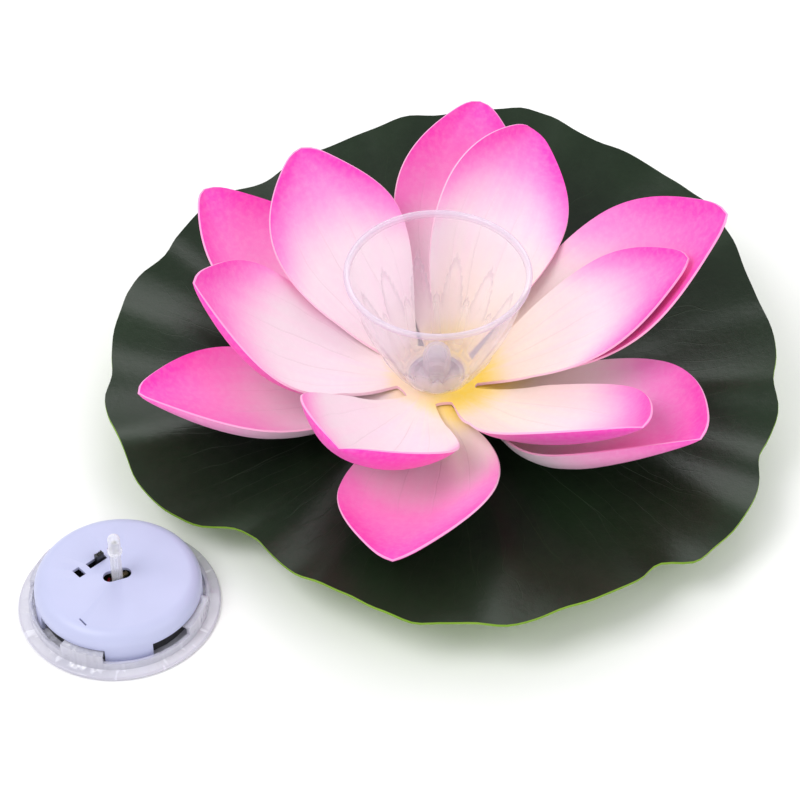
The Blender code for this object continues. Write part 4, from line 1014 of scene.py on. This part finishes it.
def build_tray(sizes):
    """The clear tray: flange, collar and four hooks."""
    edge = TRAY_FLOOR / 2
    outline = [
        (0.0, 0.0),
        (TRAY_RADIUS - edge, 0.0),
        *arc((TRAY_RADIUS - edge, edge), edge, -60.0, 90.0, 5),
        (COLLAR_OUTSIDE, TRAY_FLOOR),
        (COLLAR_OUTSIDE, COLLAR_TOP),
        (COLLAR_INSIDE, COLLAR_TOP),
        (COLLAR_INSIDE, TRAY_FLOOR),
        (0.0, TRAY_FLOOR),
    ]
    tray = new_piece("flanged_tray", spun(outline), [clear_finish("tray_clear", 0.14, 0.50, 0.03 * MM, tray_marks)])
    hook = [
        (HOOK_INSIDE, HOOK_TOP),
        (COLLAR_OUTSIDE, HOOK_TOP),
        (COLLAR_OUTSIDE, COLLAR_TOP - JOIN_OVERLAP),
        (COLLAR_INSIDE, COLLAR_TOP - JOIN_OVERLAP),
        (COLLAR_INSIDE, HOOK_UNDER),
        (HOOK_INSIDE, HOOK_UNDER),
    ]
    cut(tray, [spun(hook, 24, HOOK_START + turn, HOOK_END - HOOK_START) for turn in CATCH_TURNS], "UNION")
    round_edges(tray, sizes.moulded_edge)
    rays, reaches = (tray.data.attributes.new(name, "FLOAT", "POINT") for name in ("ray", "reach"))
    for index, vert in enumerate(tray.data.vertices):
        rays.data[index].value = abs(math.atan2(vert.co.y, vert.co.x)) / math.pi
        reaches.data[index].value = math.hypot(vert.co.x, vert.co.y) / TRAY_RADIUS
    return place(tray, LIGHT)


def build_housing(sizes):
    """The white dome with its posts, hook notches and the openings in its top."""
    centre = (HOUSING_RADIUS - HOUSING_SHOULDER, HOUSING_TOP - HOUSING_SHOULDER)
    outside = arc(centre, HOUSING_SHOULDER, 90.0, 0.0, 12)
    inside = arc(centre, HOUSING_SHOULDER - HOUSING_WALL, 90.0, 0.0, 12)
    roof = HOUSING_TOP - HOUSING_WALL
    foot = [(HOUSING_RADIUS, SKIRT_LEVEL), (HOUSING_RADIUS - HOUSING_WALL, SKIRT_LEVEL)]
    outline = [(0.0, HOUSING_TOP)] + outside + foot + inside[::-1] + [(0.0, roof)]
    colour = tuple(bpy.context.scene.pool_light_colours.housing)
    finish = plastic_finish("housing_satin", colour, 0.38, 1500.0, 0.03, 0.03)
    housing = new_piece("domed_housing", spun(outline), [finish])

    def at_posts(radius, low, high):
        outline = circle_outline(radius)
        return [prism(outline, low, high, polar(POST_CIRCLE, heading)) for heading in POST_HEADINGS]

    def opening(size, radius, middle, turn, steps=6):
        outline = rounded_rectangle(*size, radius, steps)
        return prism(outline, roof - 0.5 * MM, HOUSING_TOP + 1.0 * MM, middle, turn)

    cut(housing, at_posts(POST_RADIUS, POST_FOOT, roof + JOIN_OVERLAP), "UNION")
    notch_sweep = HOOK_END - HOOK_START + TWIST + 2 * CATCH_SLACK
    notch_start = HOOK_END + CATCH_SLACK - notch_sweep
    notch_inside = HOUSING_RADIUS - 2 * HOUSING_WALL
    notch_top = HOOK_TOP + 0.6 * MM
    notch = [(notch_inside, notch_top), (TRAY_RADIUS, notch_top), (TRAY_RADIUS, 0.0), (notch_inside, 0.0)]
    cuts = at_posts(PILOT_RADIUS, 0.0, PILOT_TOP)
    cuts += [spun(notch, 30, notch_start + turn, notch_sweep) for turn in CATCH_TURNS]
    cuts.append(opening(LAMP_SLOT, LAMP_SLOT[1] / 2 - 0.001 * MM, (0.0, 0.0), LAMP_SLOT_TURN, 12))
    cuts.append(opening(SWITCH_SLOT, 0.25 * MM, SWITCH_CENTRE, SWITCH_TURN))
    for side in (-1, 1):
        cuts.append(opening(WINDOW, 0.25 * MM, along_switch(side * WINDOW_SPACING / 2), SWITCH_TURN))
    cuts.append(opening(VENT, 0.2 * MM, VENT_PLACE, VENT_TURN))
    cut(housing, cuts, "DIFFERENCE")
    return place(round_edges(housing, sizes.moulded_edge), LIGHT)


def build_lamp():
    """The clear lamp: a domed lens with its flange."""
    flange_radius, flange_height = LAMP_FLANGE
    dome = round_end(LAMP_RADIUS, LAMP_BASE + flange_height, LAMP_TIP, 12)
    outline = [(0.0, LAMP_BASE), (flange_radius, LAMP_BASE), (flange_radius, LAMP_BASE + flange_height), *dome]
    lens = clear_finish("lens_clear", 0.34, 0.60, 0.02 * MM)
    return place(settle(new_piece("lamp_lens", spun(outline, SMALL_SEGMENTS), [lens])), LIGHT)


def build_lamp_frame():
    """The lead frame cast inside the lens: an anvil with its reflector bowl, and the thinner post beside it."""
    steel = steel_finish("frame_plating", linear(200, 200, 202))
    bowl = [(radius * MM, height * MM) for radius, height in ANVIL_BOWL]
    anvil = new_piece("lamp_anvil", spun(bowl, 32), [steel])
    stem = prism(rounded_rectangle(0.9 * MM, 0.4 * MM, 0.1 * MM, 2), FRAME_FOOT, STEM_TOP, (-0.55 * MM, 0.0))
    post = prism(rounded_rectangle(0.6 * MM, 0.4 * MM, 0.1 * MM, 2), FRAME_FOOT, POST_TOP, (1.5 * MM, 0.0))
    cut(anvil, [stem], "UNION")
    return place(anvil, LIGHT), place(settle(new_piece("lamp_post", post, [steel])), LIGHT)


def build_sleeve():
    """Clear sleeving over the lamp's two leads."""
    low, high = SLEEVE_LEVELS
    inner, outer = SLEEVE
    bm = spun([(inner, low), (outer, low), (outer, high), (inner, high)], SMALL_SEGMENTS)
    finish = clear_finish("sleeve_clear", 0.22, 0.55, 0.04 * MM)
    return place(settle(new_piece("lamp_sleeve", bm, [finish])), LIGHT)


def paint(nodes, material):
    """Gives CAD nodes a finish."""
    for name in nodes:
        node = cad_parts[name]
        node.data.materials.clear()
        node.data.materials.append(material)


def stand(name, data, where, turn):
    """Puts a light or camera in the scene."""
    holder = bpy.data.objects.new(name, data)
    holder.location = where
    holder.rotation_euler = turn
    bpy.context.scene.collection.objects.link(holder)
    return holder


def stand_for(piece, body, slot, *nodes):
    """Rides a piece on its body and hides the CAD nodes that it stands for; its slot is not used."""
    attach(piece, body)
    if nodes:
        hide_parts(*nodes)


# Operators


class POOLLIGHT_OT_leaf(bpy.types.Operator):
    """Builds the round leaf"""

    bl_idname = "pool_light.leaf"
    bl_label = "Leaf"

    def execute(self, context):
        leaf = build_leaf(context.scene.pool_light_sizes)
        stand_for(leaf, BODY_FLOWER, "leaf_foam", "leaf_pad")
        return {"FINISHED"}


class POOLLIGHT_OT_petals(bpy.types.Operator):
    """Builds the two foam rosettes"""

    bl_idname = "pool_light.petals"
    bl_label = "Petals"

    def execute(self, context):
        sizes = context.scene.pool_light_sizes
        rim = petal_rim_finish()
        outer_under = petal_face_finish("outer_petal_under", (0.42, 0.86, 0.80, 1.05), False)
        inner_under = petal_face_finish("inner_petal_under", (0.12, 0.45, 0.30, 0.90), False)
        outer_face = petal_face_finish("outer_petal_face", (0.40, 0.72, 0.60, 1.04, 0.01, 0.20), True)
        inner_face = petal_face_finish("inner_petal_face", (0.50, 0.84, 0.70, 1.04, 0.0, 0.15), True)
        outer = build_rosette("outer_blossom", OUTER_ROSETTE, OUTER_LEVEL, (outer_face, outer_under, rim), sizes)
        inner = build_rosette("inner_blossom", INNER_ROSETTE, INNER_LEVEL, (inner_face, inner_under, rim), sizes)
        stand_for(outer, BODY_FLOWER, "petal_foam", "outer_petals")
        stand_for(inner, BODY_FLOWER, "petal_foam", "inner_petals")
        return {"FINISHED"}


class POOLLIGHT_OT_cup(bpy.types.Operator):
    """Builds the clear cup and finishes the float socket under it"""

    bl_idname = "pool_light.cup"
    bl_label = "Cup and Socket"

    def execute(self, context):
        stand_for(build_cup(context.scene.pool_light_sizes), BODY_FLOWER, "clear_plastic", "clear_cup")
        paint(["socket_shell"], clear_finish("socket_clear", 0.25, 0.55, 0.04 * MM))
        paint(["socket_seal"], plastic_finish("seal_silicone", linear(226, 226, 222), 0.5, 900.0, 0.05, 0.04))
        return {"FINISHED"}


class POOLLIGHT_OT_tray(bpy.types.Operator):
    """Builds the clear tray of the light unit"""

    bl_idname = "pool_light.tray"
    bl_label = "Tray"

    def execute(self, context):
        stand_for(build_tray(context.scene.pool_light_sizes), BODY_TRAY, "clear_plastic", "clear_tray")
        return {"FINISHED"}


class POOLLIGHT_OT_housing(bpy.types.Operator):
    """Builds the white housing"""

    bl_idname = "pool_light.housing"
    bl_label = "Housing"

    def execute(self, context):
        stand_for(build_housing(context.scene.pool_light_sizes), BODY_HEAD, "white_plastic", "white_housing")
        return {"FINISHED"}


class POOLLIGHT_OT_lamp(bpy.types.Operator):
    """Builds the lamp and its sleeve"""

    bl_idname = "pool_light.lamp"
    bl_label = "Lamp"

    def execute(self, context):
        stand_for(build_lamp(), BODY_HEAD, "clear_lens", "led_lamp")
        stand_for(build_sleeve(), BODY_HEAD, "clear_plastic", "lead_sleeve")
        for piece in build_lamp_frame():
            stand_for(piece, BODY_HEAD, "steel")
        return {"FINISHED"}


class POOLLIGHT_OT_insides(bpy.types.Operator):
    """Finishes the pieces inside the housing"""

    bl_idname = "pool_light.insides"
    bl_label = "Insides"

    def execute(self, context):
        colours = context.scene.pool_light_colours
        paint(["inner_chassis"], plastic_finish("chassis_black", linear(22, 22, 24), 0.42, 1400.0, 0.04, 0.04))
        paint(["slide_switch"], plastic_finish("switch_black", linear(26, 26, 28), 0.34, 1800.0, 0.03, 0.04))
        paint(["switch_lever"], plastic_finish("lever_black", linear(20, 20, 22), 0.30, 2200.0, 0.03, 0.04, 0.15))
        paint(["cell_lower", "cell_upper"], steel_finish("cell_can", linear(206, 205, 202), 0.4, 300.0))
        paint(["roof_contact", "floor_contact"], steel_finish("contact_strip", linear(214, 206, 186), 0.5))
        screws = ["chassis_screw_1", "chassis_screw_2", "chassis_screw_3"]
        paint(screws, steel_finish("screw_zinc", linear(196, 198, 202), 0.0, 600.0))
        paint(["led_lead_long", "led_lead_short"], steel_finish("lead_tin", linear(214, 214, 216), 0.0, 2600.0))
        paint(["circuit_board"], board_finish())
        paint(["resistor"], plastic_finish("resistor_lacquer", linear(204, 184, 140), 0.35, 1200.0, 0.03, 0.06, 0.2))
        paint(["red_wire"], insulation_finish("red_skin", tuple(colours.insulation_red)))
        paint(["black_wire"], insulation_finish("black_skin", linear(18, 18, 20)))
        return {"FINISHED"}


class POOLLIGHT_OT_stage(bpy.types.Operator):
    """Sets the floor, the soft lights and the camera"""

    bl_idname = "pool_light.stage"
    bl_label = "Stage"

    def execute(self, context):
        scene = context.scene
        bm = bmesh.new()
        bmesh.ops.create_grid(bm, x_segments=1, y_segments=1, size=6.0)
        floor_finish = Finish("studio_floor", Roughness=0.9, Specular_IOR_Level=0.1)
        grain = floor_finish.noise(30.0, 2.0)
        pale = floor_finish.colours.floor
        floor_finish.set({"Base_Color": floor_finish.mixed(grain * 0.02, pale, linear(240, 240, 244))})
        floor = new_piece("studio_floor", bm, [floor_finish.material])
        floor.location.z = -FLOOR_DROP

        world = bpy.data.worlds.new("studio_world")
        world.use_nodes = True
        sky = world.node_tree.nodes["Background"].inputs
        sky["Color"].default_value = (1.0, 1.0, 1.0, 1.0)
        sky["Strength"].default_value = SKY_STRENGTH
        scene.world = world
        for name, where, size, power in STUDIO_LIGHTS:
            lamp = bpy.data.lights.new(name, "AREA")
            lamp.size = size
            lamp.energy = power
            aim = Vector(STUDIO_AIM) - Vector(where)
            stand(name, lamp, where, aim.to_track_quat("-Z", "Y").to_euler())

        camera = bpy.data.cameras.new("camera")
        camera.lens = CAMERA_LENS
        camera.sensor_width = 36.0
        camera.clip_end = 20.0
        place_from = FLOWER + Vector(CAMERA_FROM_FLOWER)
        scene.camera = stand("camera", camera, place_from, (math.radians(CAMERA_TILT), 0.0, 0.0))
        scene.view_settings.view_transform = "Standard"
        return {"FINISHED"}


class POOLLIGHT_PT_panel(bpy.types.Panel):
    bl_label = "Pool Light"
    bl_idname = "POOLLIGHT_PT_panel"
    bl_space_type = "VIEW_3D"
    bl_region_type = "UI"
    bl_category = "Pool Light"

    def draw(self, context):
        layout = self.layout
        for group in (context.scene.pool_light_sizes, context.scene.pool_light_colours):
            for key in group.bl_rna.properties.keys():
                if key not in {"rna_type", "name"}:
                    layout.prop(group, key)
        for operator in OPERATORS:
            layout.operator(operator.bl_idname)


OPERATORS = (
    POOLLIGHT_OT_stage,
    POOLLIGHT_OT_leaf,
    POOLLIGHT_OT_petals,
    POOLLIGHT_OT_cup,
    POOLLIGHT_OT_tray,
    POOLLIGHT_OT_housing,
    POOLLIGHT_OT_lamp,
    POOLLIGHT_OT_insides,
)
CLASSES = (PoolLightSizes, PoolLightColours, *OPERATORS, POOLLIGHT_PT_panel)


def register():
    for cls in CLASSES:
        bpy.utils.register_class(cls)
    bpy.types.Scene.pool_light_sizes = PointerProperty(type=PoolLightSizes)
    bpy.types.Scene.pool_light_colours = PointerProperty(type=PoolLightColours)


def unregister():
    del bpy.types.Scene.pool_light_colours
    del bpy.types.Scene.pool_light_sizes
    for cls in reversed(CLASSES):
        bpy.utils.unregister_class(cls)


def main():
    """Builds the whole model in order."""
    register()
    bpy.ops.pool_light.stage()
    bpy.ops.pool_light.leaf()
    bpy.ops.pool_light.petals()
    bpy.ops.pool_light.cup()
    bpy.ops.pool_light.tray()
    bpy.ops.pool_light.housing()
    bpy.ops.pool_light.lamp()
    bpy.ops.pool_light.insides()


if __name__ == "__main__":
    main()
